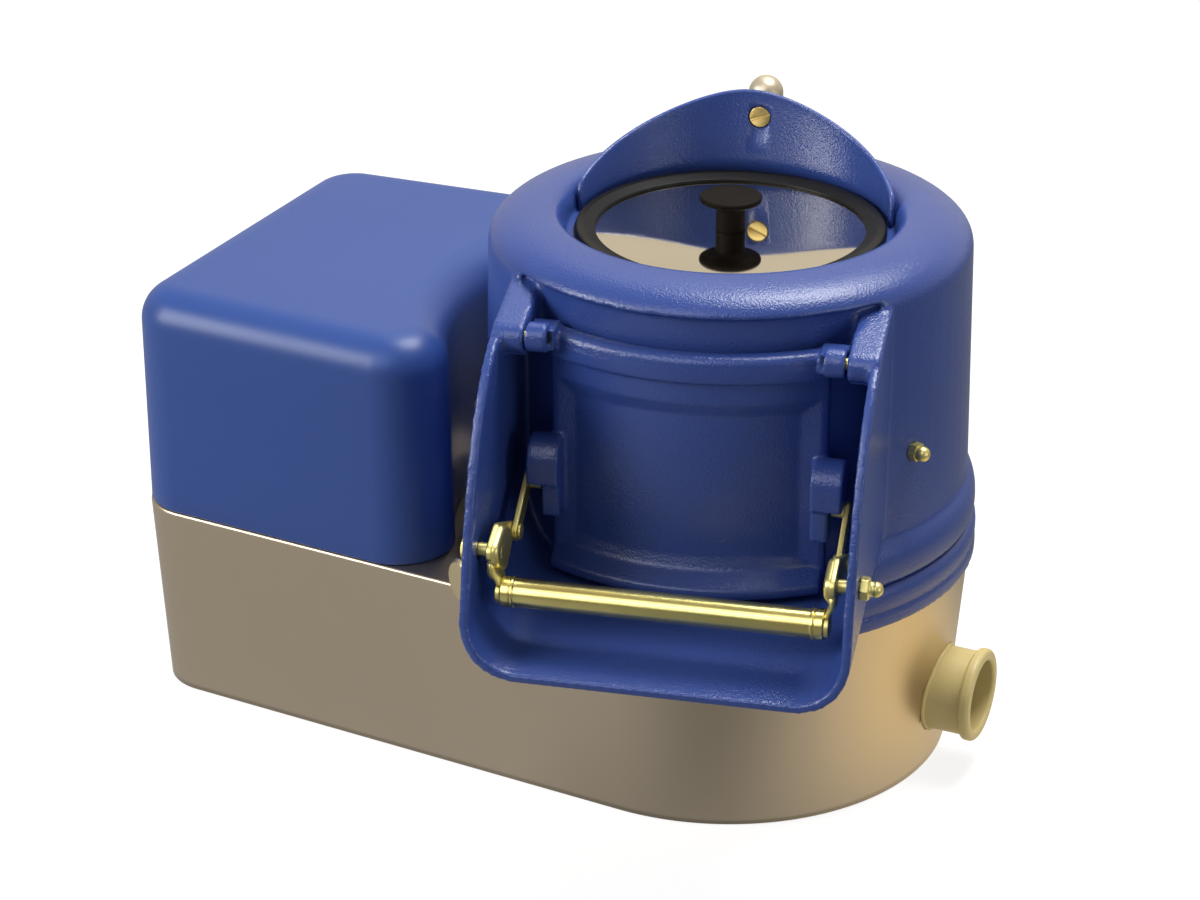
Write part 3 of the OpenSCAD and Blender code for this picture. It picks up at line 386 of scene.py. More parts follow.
def finish_of(name, colour, roughness, metal=0.0, bumps=(), specular=0.5):
    """A surface from one shader. colour and roughness are functions of the tree that give a wire;
    each bump is such a function for the height, its depth in metres and its strength."""
    material, tree = blank_material(name)
    shader = tree.nodes.new("ShaderNodeBsdfPrincipled")
    shader.inputs["Metallic"].default_value = metal
    shader.inputs["Specular IOR Level"].default_value = specular
    for socket, drawn in (("Base Color", colour), ("Roughness", roughness)):
        tree.links.new(drawn(tree).out, shader.inputs[socket])
    normal = None
    for height, depth, strength in bumps:
        inputs = {"Height": height(tree), "Distance": depth, "Strength": strength}
        if normal:
            inputs["Normal"] = normal
        normal = add(tree, "Bump", inputs)
    if normal:
        tree.links.new(normal.out, shader.inputs["Normal"])
    show(tree, Wire(tree, shader.outputs[0]))
    return material


STEEL_PALE, STEEL_WARM = (0.63, 0.535, 0.41), (0.56, 0.465, 0.345)
satin_steel = finish_of(
    "satin_steel",
    mottled(6, 3, STEEL_WARM, STEEL_PALE, (1, 1, 0.35)),
    uneven(0.30, (0.10, 9, 4, (1, 1, 0.3)), (0.05, 420, 1, (1, 1, 0.06))),
    metal=1.0,
    bumps=[grained(900, 2, 0.00012, 0.10, (1, 1, 0.08)), grained(9, 2, 0.006, 0.12, (1, 1, 0.12))],
)

levels = [(z, 0.0) for z in np.linspace(0, BASE_HEIGHT - DECK_EDGE_R, 26)]
levels += round_over(BASE_HEIGHT, DECK_EDGE_R, 9) + [(BASE_HEIGHT, DECK_EDGE_R + SHEET)]
BOWL_HOLE_R, MOTOR_HOLE_R, MOTOR_X = 117.8 * MM, 64 * MM, -222 * MM
count = len(base_outline(0, 0))
wall = np.vstack([np.column_stack([base_outline(z, d), np.full(count, z)]) for z, d in levels])
faces = grid_faces(len(levels), count).tolist()


def base_deck(points, faces):
    """Fills the deck between the wall's last ring and two round holes."""
    mesh = bpy.data.meshes.new("deck")
    mesh.from_pydata(points.tolist(), [], faces)
    work = bmesh.new()
    work.from_mesh(mesh)
    work.verts.ensure_lookup_table()
    rim = work.verts[-count:]
    loops = [list(rim)]
    for x, radius in ((0.0, BOWL_HOLE_R), (MOTOR_X, MOTOR_HOLE_R)):
        hole = arc((x, 0), radius, 0, 360, 97)[:-1]
        loops.append([work.verts.new((*corner, BASE_HEIGHT)) for corner in hole])
    edges = []
    for loop in loops:
        for a, b in zip(loop, loop[1:] + loop[:1]):
            edges.append(work.edges.get((a, b)) or work.edges.new((a, b)))
    bmesh.ops.triangle_fill(work, edges=edges, use_beauty=True)
    work.verts.index_update()
    points = [tuple(v.co) for v in work.verts]
    faces = [[v.index for v in f.verts] for f in work.faces]
    work.free()
    bpy.data.meshes.remove(mesh)
    return points, faces


base_sheet = piece("base_sheet", *base_deck(wall, faces), "base", "stainless", satin_steel)
thickness = base_sheet.modifiers.new("thickness", "SOLIDIFY")
thickness.thickness, thickness.offset = SHEET, -1.0


def cutter(name, radius, start, end):
    """A round bar from start to end that a hole is cut with."""
    axis = unit(np.subtract(end, start))
    side = unit(np.cross(axis, [0, 0, 1.0] if abs(axis[2]) < 0.9 else [1.0, 0, 0]))
    sides = 64
    angle = np.linspace(0, 2 * np.pi, sides, endpoint=False)[:, None]
    ring = radius * (np.cos(angle) * side + np.sin(angle) * np.cross(axis, side))
    mesh = bpy.data.meshes.new(name)
    mesh.from_pydata(np.vstack([ring + start, ring + end]).tolist(), [], capped(2, sides))
    with edited(mesh, SAME_PLACE) as work:
        bmesh.ops.recalc_face_normals(work, faces=work.faces)
    return into_scene(name, mesh)


def drill(made, *holes):
    """Cuts the round holes and works all modifiers into the mesh."""
    bars = [cutter(f"{made.name}_hole_{i}", *hole) for i, hole in enumerate(holes)]
    for bar in bars:
        cut = made.modifiers.new(bar.name, "BOOLEAN")
        cut.object, cut.operation, cut.solver = bar, "DIFFERENCE", "EXACT"
    settle(made)
    for bar in bars:
        bpy.data.objects.remove(bar)


GLAND_X, GLAND_Z, GLAND_HOLE_R = -262 * MM, 38 * MM, 8.3 * MM
WASTE_Z, WASTE_HOLE_R = 43 * MM, 23.3 * MM
drill(
    base_sheet,
    (WASTE_HOLE_R, (90 * MM, 0, WASTE_Z), (160 * MM, 0, WASTE_Z)),
    (GLAND_HOLE_R, (GLAND_X, 80 * MM, GLAND_Z), (GLAND_X, 150 * MM, GLAND_Z)),
)
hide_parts("base_shell")

# ---- Base plate: flat stainless cover under the base ----
# A 2 mm plate as it comes from the mill, cut to fit inside the wall. It closes
# the underside and is held by four countersunk screws.
raw_plate = finish_of(
    "mill_finish",
    mottled(30, 3, (0.50, 0.47, 0.42), (0.60, 0.57, 0.52), (0.2, 1, 1)),
    uneven(0.42, (0.14, 60, 3, (0.1, 1, 1))),
    metal=1.0,
    bumps=[grained(1200, 2, 0.0001, 0.15, (0.06, 1, 1))],
)
screw_steel = finish_of(
    "screw_steel",
    mottled(260, 2, (0.52, 0.52, 0.53), (0.66, 0.66, 0.67)),
    uneven(0.28, (0.2, 500, 2)),
    metal=1.0,
    bumps=[grained(2400, 1, 0.00005, 0.2)],
)


def dress(material, *names):
    """A CAD node whose shape is right takes the material."""
    for name in names:
        mesh = nodes[name].data
        mesh.materials.clear()
        mesh.materials.append(material)


dress(raw_plate, "base_plate")
dress(screw_steel, "base_plate_screws")

# ---- Motor cover: one moulded shell, painted in satin blue ----
# A hollow moulding over the motor. Its inner side wraps round the drum at an
# even distance, its top edge is well rounded, and it stands on the deck.
COVER_HEIGHT, HOLLOW_R, BESIDE_R = 126 * MM, 147 * MM, 30 * MM
COVER_EDGE_R, COVER_WALL, COVER_FOOT = 20 * MM, 4 * MM, 0.6 * MM
COVER_DRAFT, COVER_GAP = 0.012, 0.3 * MM
COVER_Z, COVER_TOP = BASE_HEIGHT + COVER_GAP, BASE_HEIGHT + COVER_HEIGHT
satin_blue = finish_of(
    "satin_blue",
    mottled(5, 3, (0.031, 0.076, 0.285), (0.037, 0.088, 0.315)),
    uneven(0.30, (0.10, 14, 3), (0.05, 240, 2)),
    specular=0.4,
    bumps=[grained(620, 2, 0.00012, 0.28), grained(22, 2, 0.0012, 0.06)],
)


def beside_corner():
    """Centre of the round corner beside the drum: it touches the long side and the hollow."""
    a, b = BASE_TOP_R - BESIDE_R, HOLLOW_R + BESIDE_R
    s = math.sqrt(b * b - a * a)
    return np.array([
        -a * math.sin(TAPER) - s * math.cos(TAPER),
        -a * math.cos(TAPER) + s * math.sin(TAPER),
    ])


def cover_outline(inset):
    """The cover's plan: two corners at the motor end, two beside the drum, and the hollow between them."""
    end, beside, taper = end_corner(BASE_TOP_R), beside_corner(), math.degrees(TAPER)
    lean = math.degrees(math.atan2(-beside[1], -beside[0]))
    return straights(np.vstack([
        arc(end, CORNER_R - inset, 180, 270 - taper, 22),
        arc(beside, BESIDE_R - inset, 270 - taper, 360 + lean, 30),
        arc((0, 0), HOLLOW_R + inset, 180 + lean, 180 - lean, 48)[1:-1],
        arc(beside * (1, -1), BESIDE_R - inset, -lean, 90 + taper, 30),
        arc(end * (1, -1), CORNER_R - inset, 90 + taper, 180, 22),
    ]), {21: 12, 127: 12, 149: 24})


def cover_levels(inset, low, steps):
    """(height, inset) up one face of the cover: a drafted wall, then the round top edge."""
    radius = COVER_EDGE_R - inset
    top = COVER_TOP - inset
    walls = [(z, inset) for z in np.linspace(low, top - radius, 14)]
    edge = round_over(top, radius, steps, inset) + [(top, inset + radius + 2.5 * MM)]
    return [(z, COVER_FOOT + d + COVER_DRAFT * (z - COVER_Z)) for z, d in walls + edge]


lip = 0.8 * MM
outer = cover_levels(0.0, COVER_Z + lip, 15)
inner = cover_levels(COVER_WALL, COVER_Z + lip, 8)
foot = [(COVER_Z, COVER_FOOT + COVER_WALL - lip), (COVER_Z, COVER_FOOT + lip)]
section = inner[::-1] + foot + [(COVER_Z + 0.25 * MM, COVER_FOOT + 0.25 * MM)] + outer
count = len(cover_outline(0.0))
points = np.vstack([np.column_stack([cover_outline(d), np.full(count, z)]) for z, d in section])
motor_hood = piece("motor_hood", points, capped(len(section), count), "base", "cover_blue", satin_blue)
BUTTON_XS, BUTTON_Z, BUTTON_HOLE_R = (-242 * MM, -208 * MM), 177 * MM, 12.5 * MM
SCREW_XS, SCREW_Z, SCREW_HOLE_R = (-280 * MM, -165 * MM), 125 * MM, 2.2 * MM


def long_side(x):
    """Y of the cover's back wall at x."""
    return (BASE_TOP_R + math.sin(TAPER) * x) / math.cos(TAPER)


def back_hole(radius, x, z, reach_in, reach_out):
    """A hole through the back wall at x and z, square to it."""
    ends = [(x - d * math.sin(TAPER), long_side(x) + d * math.cos(TAPER), z) for d in (-reach_in, reach_out)]
    return (radius, *ends)


drill(
    motor_hood,
    *[back_hole(BUTTON_HOLE_R, x, BUTTON_Z, 20 * MM, 20 * MM) for x in BUTTON_XS],
    *[back_hole(SCREW_HOLE_R, x, SCREW_Z, 14 * MM, 16 * MM) for x in SCREW_XS],
)
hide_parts("motor_cover")

# ---- Castings: drum with chute, door and base ring ----
# Sand-cast aluminium in thick, finely grained blue enamel. The mould and the
# enamel leave no sharp edge: each skin is the solid with all its edges run round.
ENAMEL_DEEP, ENAMEL_BRIGHT = (0.033, 0.068, 0.270), (0.041, 0.082, 0.310)
blue_enamel = finish_of(
    "blue_enamel",
    mottled(7, 3, ENAMEL_DEEP, ENAMEL_BRIGHT),
    uneven(0.13, (0.10, 11, 3), (0.05, 300, 2)),
    bumps=[grained(880, 2, 0.0004, 0.75), grained(45, 2, 0.0012, 0.08)],
)


CAD_SAME_PLACE, EASE = 1e-6, 0.5


def solid_copy(name, node, finish):
    """A new object that has the node's solid, in one finish."""
    mesh = nodes[node].data.copy()
    mesh.materials.clear()
    mesh.materials.append(finish)
    return into_scene(name, mesh)


def stands_for(made, node, body):
    """The finished object takes the node's place."""
    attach(made, body)
    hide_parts(node)


def casting(name, node, body, finish, grain, passes, keep=1.0, extra=((), ()), softer=None):
    """The node's solid as a cast skin: its surface on a grid of cubes of size grain, relaxed a few
    times, which moves each point towards the middle of its neighbours and so rounds the edges.
    keep is the share of faces that stay, extra a shape (points, faces) that is cast on, and softer
    a test for the points that are relaxed further, with the number of times."""
    made = solid_copy(name, node, finish)
    points, faces = extra
    with edited(made.data, CAD_SAME_PLACE) as work:
        corners = [work.verts.new(point) for point in np.asarray(points).tolist()]
        cast_on = [work.faces.new([corners[i] for i in face]) for face in faces]
        bmesh.ops.recalc_face_normals(work, faces=cast_on)
    skin = made.modifiers.new("skin", "REMESH")
    skin.mode, skin.voxel_size, skin.use_smooth_shade = "VOXEL", grain, True
    ease = made.modifiers.new("ease", "SMOOTH")
    ease.factor, ease.iterations = EASE, passes
    if softer:
        test, further = softer
        settle(made)
        flat = np.empty(len(made.data.vertices) * 3)
        made.data.vertices.foreach_get("co", flat)
        chosen = np.nonzero(test(flat.reshape(-1, 3)))[0].tolist()
        made.vertex_groups.new(name="softer").add(chosen, 1.0, "REPLACE")
        more = made.modifiers.new("more", "SMOOTH")
        more.factor, more.iterations, more.vertex_group = EASE, further, "softer"
    if keep < 1.0:
        thin = made.modifiers.new("thin", "DECIMATE")
        thin.ratio = keep
    settle(made)
    made.data.materials.clear()
    made.data.materials.append(finish)
    sharp = made.data.attributes.get("sharp_face")
    if sharp:
        made.data.attributes.remove(sharp)
    made.data.shade_smooth()
    stands_for(made, node, body)


CHUTE_TURN = math.radians(12.5)
OUT = np.array([math.sin(CHUTE_TURN), -math.cos(CHUTE_TURN), 0.0])
ACROSS = np.array([math.cos(CHUTE_TURN), math.sin(CHUTE_TURN), 0.0])
UP = np.array([0.0, 0.0, 1.0])


def across_chute(ring, start, end):
    """A block whose outline is a ring of corners (out, up), carried straight from start to end across
    the chute, all in millimetres."""
    ring = np.array(ring, float)
    rings = [t * ACROSS + ring[:, :1] * OUT + ring[:, 1:] * UP for t in (start, end)]
    return np.vstack(rings) * MM, capped(2, len(ring))


def round_door(ring, steps=41):
    """A band over the door's width. Its section is a ring of corners (radius, up), carried round the
    drum axis; each corner's turn ends where its circle meets the door's side."""
    ring = np.array(ring, float)
    turn = np.arcsin(DOOR_HALF / ring[:, 0])[None] * np.linspace(-1, 1, steps)[:, None]
    heading = np.cos(turn)[..., None] * OUT + np.sin(turn)[..., None] * ACROSS
    points = ring[:, 0][None, :, None] * heading
    points[..., 2] = ring[:, 1]
    return points.reshape(-1, 3) * MM, capped(steps, len(ring))


def gather(*shapes):
    """Several shapes as one list of points and one of faces."""
    starts = np.cumsum([0] + [len(points) for points, _ in shapes])
    faces = [[i + start for i in face] for start, (_, made) in zip(starts, shapes) for face in made]
    return np.vstack([points for points, _ in shapes]), faces


def under_shoulder(points):
    """Which points lie on the edge of the shoulder over the door's recess."""
    reach, up = np.hypot(points[:, 0], points[:, 1]), points[:, 2]
    in_front = (points @ OUT > 75 * MM) & (np.abs(points @ ACROSS) < 94 * MM)
    near_edge = (reach > 104 * MM) & (reach < 131 * MM) & (up > 266 * MM) & (up < 294 * MM)
    return in_front & near_edge


# Each cheek's top slopes up to the shoulder. The door has a proud top band and a
# ledge along the bottom of its frame.
CHEEK_IN, CHEEK_OUT, DOOR_HALF = 80.5, 96.6, 69.4
CHEEK_TOP = [(78, 266), (121, 266), (119.5, 273.6), (90, 281.6), (78, 283.6)]
TOP_BAND = [
    (122.5, 254.5), (131.0, 254.5), (131.9, 256.0), (131.9, 262.0),
    (129.5, 267.0), (125.0, 268.6), (122.5, 268.0),
]
LOW_LEDGE = [
    (122.5, 138.2), (134.6, 138.4), (136.8, 140.6), (136.8, 144.4), (124.6, 152.6), (122.5, 152.6),
]
casting(
    "drum_casting", "drum", "base", blue_enamel,
    grain=1.25 * MM, passes=6, keep=0.31, softer=(under_shoulder, 26),
    extra=gather(
        across_chute(CHEEK_TOP, CHEEK_IN, CHEEK_OUT),
        across_chute(CHEEK_TOP, -CHEEK_OUT, -CHEEK_IN),
    ),
)
casting(
    "door_casting", "door", "door", blue_enamel,
    grain=0.9 * MM, passes=6, keep=0.8, extra=gather(round_door(TOP_BAND), round_door(LOW_LEDGE)),
)

# The ring's skirt laps over the top of the base round the drum end. Over its
# last few degrees it runs up into the ring.
SKIRT_IN, SKIRT_OUT, SKIRT_LOW, SKIRT_TOP, RING_LOW = 132.8, 135.0, 109.3, 117.4, 115.4
SKIRT_HALF, SKIRT_END = 94.0, 7.0
skirt_turn = np.linspace(-SKIRT_HALF, SKIRT_HALF, 241)
ending = np.clip((np.abs(skirt_turn) - SKIRT_HALF) / SKIRT_END + 1.0, 0, 1)
low = SKIRT_LOW + (RING_LOW - SKIRT_LOW) * ending ** 2
top = np.full(len(low), SKIRT_TOP)
radii, turn = np.array([SKIRT_IN, SKIRT_OUT, SKIRT_OUT, SKIRT_IN]), np.radians(skirt_turn)[:, None]
skirt = np.stack([radii * np.cos(turn), radii * np.sin(turn), np.stack([low, low, top, top], -1)], -1)
casting(
    "ring_casting", "base_ring", "base", blue_enamel,
    grain=1.3 * MM, passes=3, keep=0.6, extra=(skirt.reshape(-1, 3) * MM, capped(len(skirt_turn), 4)),
)

# ---- Splash guard: a curved blue plate behind the lid ----
# Pressed from 2.8 mm plate, edges rounded off, in the drum's enamel. It stands
# on the lid seat and one slotted screw holds it to the water inlet.
GUARD_FOOT, GUARD_TOP = 284.3 * MM, 334 * MM
GUARD_R, GUARD_WALL = 86.1 * MM, 2.8 * MM
GUARD_HALF, GUARD_TURN, GUARD_FALL, CREST_HALF = 78.0, 4.0, 0.52 * MM, 14.0
END_THIN, END_ROUND, END_DROP = 1.0, 2.0, 5 * MM
GUARD_SCREW_Z, GUARD_SCREW_R, SUNK_R, SUNK_FLOOR = 319 * MM, 2.56 * MM, 6.3 * MM, 84.87 * MM


def guard_edge(angle):
    """Height of the guard's edge at an angle in degrees: a hyperbola, with a soft crest in the
    middle and an even fall to both ends."""
    return GUARD_TOP - GUARD_FALL * (np.sqrt(angle ** 2 + CREST_HALF ** 2) - CREST_HALF)


def near_end(reach):
    """0 along the guard, rising evenly to 1 over its last few degrees."""
    return np.clip((np.abs(across) - GUARD_HALF) / reach + 1.0, 0, 1)


# One section runs up the inner face, over the round edge, down the outer face
# and back along the foot. It is carried along the guard and thins at the ends.
across = np.linspace(-GUARD_HALF, GUARD_HALF, 121)
thin_end = np.sqrt(1 - near_end(END_THIN) ** 2)
half_round = np.radians(np.linspace(0, 180, 9))
loop_r = np.concatenate([[-1.0, -1.0], -np.cos(half_round), [1.0, 1.0, 1.0, -1.0]])
up = np.concatenate([[0.25, 0.9], np.ones(9), [0.9, 0.25, 0.0, 0.0]])
crown = np.concatenate([[0.0, 0.0], np.sin(half_round), np.zeros(4)])
top = guard_edge(across) - END_DROP * near_end(END_ROUND) - GUARD_WALL / 2
radius = GUARD_R - GUARD_WALL / 2 + np.outer(thin_end, loop_r) * GUARD_WALL / 2
height = GUARD_FOOT + np.outer(top - GUARD_FOOT, up) + crown * GUARD_WALL / 2
azimuth = np.radians(90.0 + GUARD_TURN + across)[:, None] + CHUTE_TURN
points = np.stack([radius * np.cos(azimuth), radius * np.sin(azimuth), height], -1)
splash_plate = piece("splash_plate", points, capped(*points.shape[:2]), "base", "blue_paint", blue_enamel)


def behind_drum(radius):
    """A point at the guard screw's height, out from the drum axis away from the chute."""
    return (-radius * math.sin(CHUTE_TURN), radius * math.cos(CHUTE_TURN), GUARD_SCREW_Z)


drill(
    splash_plate,
    (SUNK_R, behind_drum(80 * MM), behind_drum(SUNK_FLOOR)),
    (GUARD_SCREW_R, behind_drum(82 * MM), behind_drum(90 * MM)),
)
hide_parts("splash_guard")

# ---- Lid: mirror-polished stainless disc with a rubber seal and a knob ----
# The disc is spun from sheet and buffed. The seal is pressed on its rim, and
# the black moulded knob is held by a screw from below.
mirror_steel = finish_of(
    "mirror_steel",
    mottled(18, 2, (0.68, 0.645, 0.58), (0.74, 0.70, 0.63)),
    lambda t: 0.035 + 0.05 * noise(t, 34, 4) ** 2.0,
    metal=1.0,
    bumps=[grained(16, 1, 0.0012, 0.02)],
)
dress(mirror_steel, "lid_plate")
black_rubber = finish_of(
    "black_rubber",
    mottled(90, 3, (0.004, 0.004, 0.004), (0.010, 0.009, 0.008)),
    uneven(0.40, (0.16, 160, 3)),
    specular=0.22,
    bumps=[grained(1500, 2, 0.00008, 0.3)],
)
brown_black = finish_of(
    "brown_black",
    mottled(120, 2, (0.006, 0.0045, 0.004), (0.012, 0.009, 0.007)),
    uneven(0.46, (0.12, 200, 2)),
    specular=0.05,
    bumps=[grained(900, 2, 0.00006, 0.2)],
)


def rounded(corners, steps=6):
    """A closed outline from corners (a, b, radius): each corner becomes an arc whose centre lies on
    the corner's bisector at radius / sin(half its angle), with a guard point on either side."""
    spots = np.array([c[:2] for c in corners], float)
    out = []
    for i, corner in enumerate(corners):
        here, radius = spots[i], (corner[2] if len(corner) > 2 else 0.0)
        if not radius:
            out.append(here[None])
            continue
        before, after = spots[i - 1] - here, spots[(i + 1) % len(spots)] - here
        before, after = unit(before), unit(after)
        half = 0.5 * math.acos(float(np.clip(before @ after, -1, 1)))
        sweep = math.pi - 2 * half
        middle = here + unit(before + after) * radius / math.sin(half)
        first = (here + before * radius / math.tan(half) - middle) / radius
        last = (here + after * radius / math.tan(half) - middle) / radius
        t = np.linspace(0, 1, steps + 1)[:, None]
        bow = middle + radius * (np.sin((1 - t) * sweep) * first + np.sin(t * sweep) * last) / math.sin(sweep)
        out += [(bow[0] + before * radius * 0.25)[None], bow, (bow[-1] + after * radius * 0.25)[None]]
    return np.vstack(out)


def place_on(origin, axis, spin=0.0):
    """A frame at origin whose third direction is axis, turned by spin about it."""
    axis = unit(axis)
    side = unit(np.cross([0, 0, 1.0], axis)) if abs(axis[2]) < 0.99 else np.array([1.0, 0, 0])
    first = math.cos(spin) * side + math.sin(spin) * np.cross(axis, side)
    return frame_at(origin, first, np.cross(axis, first), axis)


def round_axis(angle, radius, height):
    """Points about the third axis: at each angle, all the radii with their heights."""
    angle = angle[:, None]
    height = np.broadcast_to(height, (len(angle), len(height)))
    return np.stack([radius * np.cos(angle), radius * np.sin(angle), height], -1).reshape(-1, 3)


def set_at(shape, place):
    """The shape (points, faces) turned and moved into the frame place."""
    points, faces = shape
    return points @ place[:3, :3].T + place[:3, 3], faces


def turned(profile, steps=128, place=np.eye(4)):
    """A closed profile (radius, height) carried round the third axis of place."""
    angle = np.linspace(0, 2 * np.pi, steps, endpoint=False)
    points = round_axis(angle, profile[:, 0], profile[:, 1])
    return set_at((points, grid_faces(steps, len(profile), wrap_rows=True)), place)


seal_profile = rounded([
    (72.02, 284.3, 0.3), (80.6, 284.3, 1.2), (81.7, 286.0, 1.4), (80.4, 289.2, 1.4),
    (76.4, 289.4, 1.2), (70.5, 287.4, 0.6), (70.5, 286.05, 0.2), (72.02, 286.05, 0.1),
], 5) * MM
piece("lid_seal_ring", *turned(seal_profile, 160), "lid", "rubber_black", black_rubber, "lid_seal")
knob_profile = rounded([
    (0.0, 286.02), (7.8, 286.02, 0.2), (7.6, 298.4, 2.2), (10.5, 300.9, 2.0), (16.3, 301.6, 1.3),
    (16.3, 304.6, 1.3), (9.0, 305.0, 9.0), (0.0, 305.0),
], 7) * MM
piece("mushroom_knob", *turned(knob_profile, 96), "lid", "knob_black", brown_black, "lid_knob")
dress(screw_steel, "lid_screw")

# ---- Door latch: handle bar, crank plates and links in gold-passivated zinc ----
# The bar is a drawn tube on two crank plates that turn on studs in the cheeks.
# A link on each crank pulls up into a groove under the door's boss.
ZINC_PALE, ZINC_DEEP, ZINC_GREEN = (0.88, 0.80, 0.34), (0.68, 0.57, 0.20), (0.60, 0.60, 0.27)
GREEN_SPREAD, GREEN_LOSS = 2.0, 0.9


def zinc_colour(t):
    """Passivated zinc drifts between straw, gold and a little green."""
    warm = blend_colour(t, noise(t, 60, 3), ZINC_DEEP, ZINC_PALE)
    return blend_colour(t, (noise(t, 26, 2) * GREEN_SPREAD - GREEN_LOSS).held(), warm, ZINC_GREEN)


gold_zinc = finish_of(
    "gold_zinc",
    zinc_colour,
    uneven(0.34, (0.14, 90, 3)),
    metal=1.0,
    bumps=[grained(1300, 2, 0.00006, 0.2)],
)


def drawn_lines(tree):
    """Fine lines that run along the bar."""
    turn, stretch = (0, 0, -CHUTE_TURN), (0.03, 1.0, 1.0)
    along = add(tree, "Mapping", {"Vector": object_place(tree), "Rotation": turn, "Scale": stretch})
    return noise(tree, 700, 2, place=along)


drawn_zinc = finish_of(
    "drawn_zinc",
    zinc_colour,
    uneven(0.20, (0.10, 70, 3)),
    metal=1.0,
    bumps=[(drawn_lines, 0.00012, 0.22)],
)


def in_chute(t, u, z):
    """A point t across the chute, u out from the drum axis and z up, all in millimetres."""
    return (t * ACROSS + u * OUT + z * UP) * MM


PIVOT_U, PIVOT_Z, BAR_Z, FOOT_IN = 171.0, 174.0, 152.0, 80.6
one_half = [
    (7.8, -FOOT_IN, 0.7), (7.8, -FOOT_IN + 4.3, 0.3), (7.2, -FOOT_IN + 4.7, 0.2),
    (8.1, -FOOT_IN + 5.1, 0.4), (8.1, -FOOT_IN + 6.3, 0.5), (7.3, -FOOT_IN + 6.8, 0.3),
]
other_half = [(radius, -along, corner) for radius, along, corner in one_half[::-1]]
bar_profile = rounded([(0.0, -FOOT_IN), *one_half, *other_half, (0.0, FOOT_IN)], 5) * MM
piece(
    "handle_tube",
    *turned(bar_profile, 72, place_on(in_chute(0, PIVOT_U, BAR_Z), ACROSS)),
    "handle", "zinc_gold", drawn_zinc, "handle_bar",
)


BEVEL_STEPS = 3


def softened(name, node, body, finish, width, angle=32.0):
    """The node's solid with its sharp edges broken by a small bevel."""
    made = solid_copy(name, node, finish)
    with edited(made.data, CAD_SAME_PLACE) as work:
        bmesh.ops.dissolve_limit(work, angle_limit=math.radians(0.6), verts=work.verts, edges=work.edges)
        for face in work.faces:
            face.smooth = True
    bevel = made.modifiers.new("broken_edges", "BEVEL")
    bevel.width, bevel.segments, bevel.limit_method = width, BEVEL_STEPS, "ANGLE"
    bevel.angle_limit, bevel.harden_normals = math.radians(angle), True
    settle(made)
    stands_for(made, node, body)


softened("crank_rivets", "handle_rivets", "handle", gold_zinc, 0.4 * MM)
softened("link_strips", "latch_links", "latch_links", gold_zinc, 0.3 * MM)
softened("link_tips", "latch_tips", "latch_links", gold_zinc, 0.4 * MM)
softened("door_pins", "hinge_pins", "base", gold_zinc, 0.3 * MM)


CHAMFER_START, CHAMFER_SLOPE = 0.96, 1.9


def hexagon(across_flats, slope, steps=96):
    """Angles round a nut, and its radius there at each height in slope above a face: half the flats
    over the cosine of the angle from a flat's middle, or less where the chamfer cone is inside."""
    angle = np.linspace(0, 2 * np.pi, steps, endpoint=False)
    half = across_flats / 2
    flat = half / np.cos((angle + np.pi / 6) % (np.pi / 3) - np.pi / 6)
    return angle, np.minimum(flat[:, None], half * CHAMFER_START + slope[None] * CHAMFER_SLOPE)


def acorn(across_flats, hex_height, neck_r, dome_r, dome_z):
    """An acorn nut in millimetres: a hexagon, above it a round neck and a quarter-circle dome."""
    slope = np.array([0.0, 0.35, 0.8, 1.4])
    angle, low = hexagon(across_flats, slope)
    middle, neck = np.zeros((len(angle), 1)), np.full((len(angle), 2), neck_r)
    dome = np.radians(np.linspace(0, 90, 10))
    r = np.hstack([middle, low, low[:, ::-1], neck, np.tile(dome_r * np.cos(dome), (len(angle), 1))])
    neck_z = [hex_height, dome_z - 0.2]
    z = np.concatenate([[0.0], slope, hex_height - slope[::-1], neck_z, dome_z + dome_r * np.sin(dome)])
    return round_axis(angle, r, z) * MM, grid_faces(len(angle), len(z), wrap_rows=True, wrap_columns=False)


def thin_nut(across_flats, height, bore):
    """A plain nut in millimetres: a hexagon chamfered on both faces, round a bore."""
    slope = np.array([0.0, 0.3, 0.7])
    angle, low = hexagon(across_flats, slope)
    hole = np.full((len(angle), 1), bore)
    r = np.hstack([hole, low, low[:, ::-1], hole])
    z = np.concatenate([[0.0], slope, height - slope[::-1], [height]])
    return round_axis(angle, r, z) * MM, grid_faces(len(angle), len(z), wrap_rows=True)


NUT_FLATS, NUT_SEAT, NUT_SPIN = 10.4, 97.1, 0.4
right_nut, left_nut = acorn(NUT_FLATS, 4.6, 3.7, 3.9, 7.4), thin_nut(NUT_FLATS, 3.4, 3.4)
piece("pivot_acorns", *gather(
    set_at(right_nut, place_on(in_chute(NUT_SEAT, PIVOT_U, PIVOT_Z), ACROSS, NUT_SPIN)),
    set_at(left_nut, place_on(in_chute(-NUT_SEAT, PIVOT_U, PIVOT_Z), -ACROSS, NUT_SPIN)),
), "base", "zinc_gold", gold_zinc, "pivot_nuts")
stud_profile = rounded([
    (0.0, 80.0), (3.4, 80.0, 0.4), (3.4, 86.6, 0.1), (3.5, 86.7, 0.1), (3.5, 92.4, 0.2),
    (3.2, 92.4, 0.1), (3.2, 101.0, 0.5), (0.0, 101.0),
], 4) * MM
pivot = in_chute(0, PIVOT_U, PIVOT_Z)
piece("crank_studs", *gather(
    *[turned(stud_profile, 64, place_on(pivot, side * ACROSS)) for side in (-1, 1)]
), "base", "zinc_gold", gold_zinc, "pivot_studs")


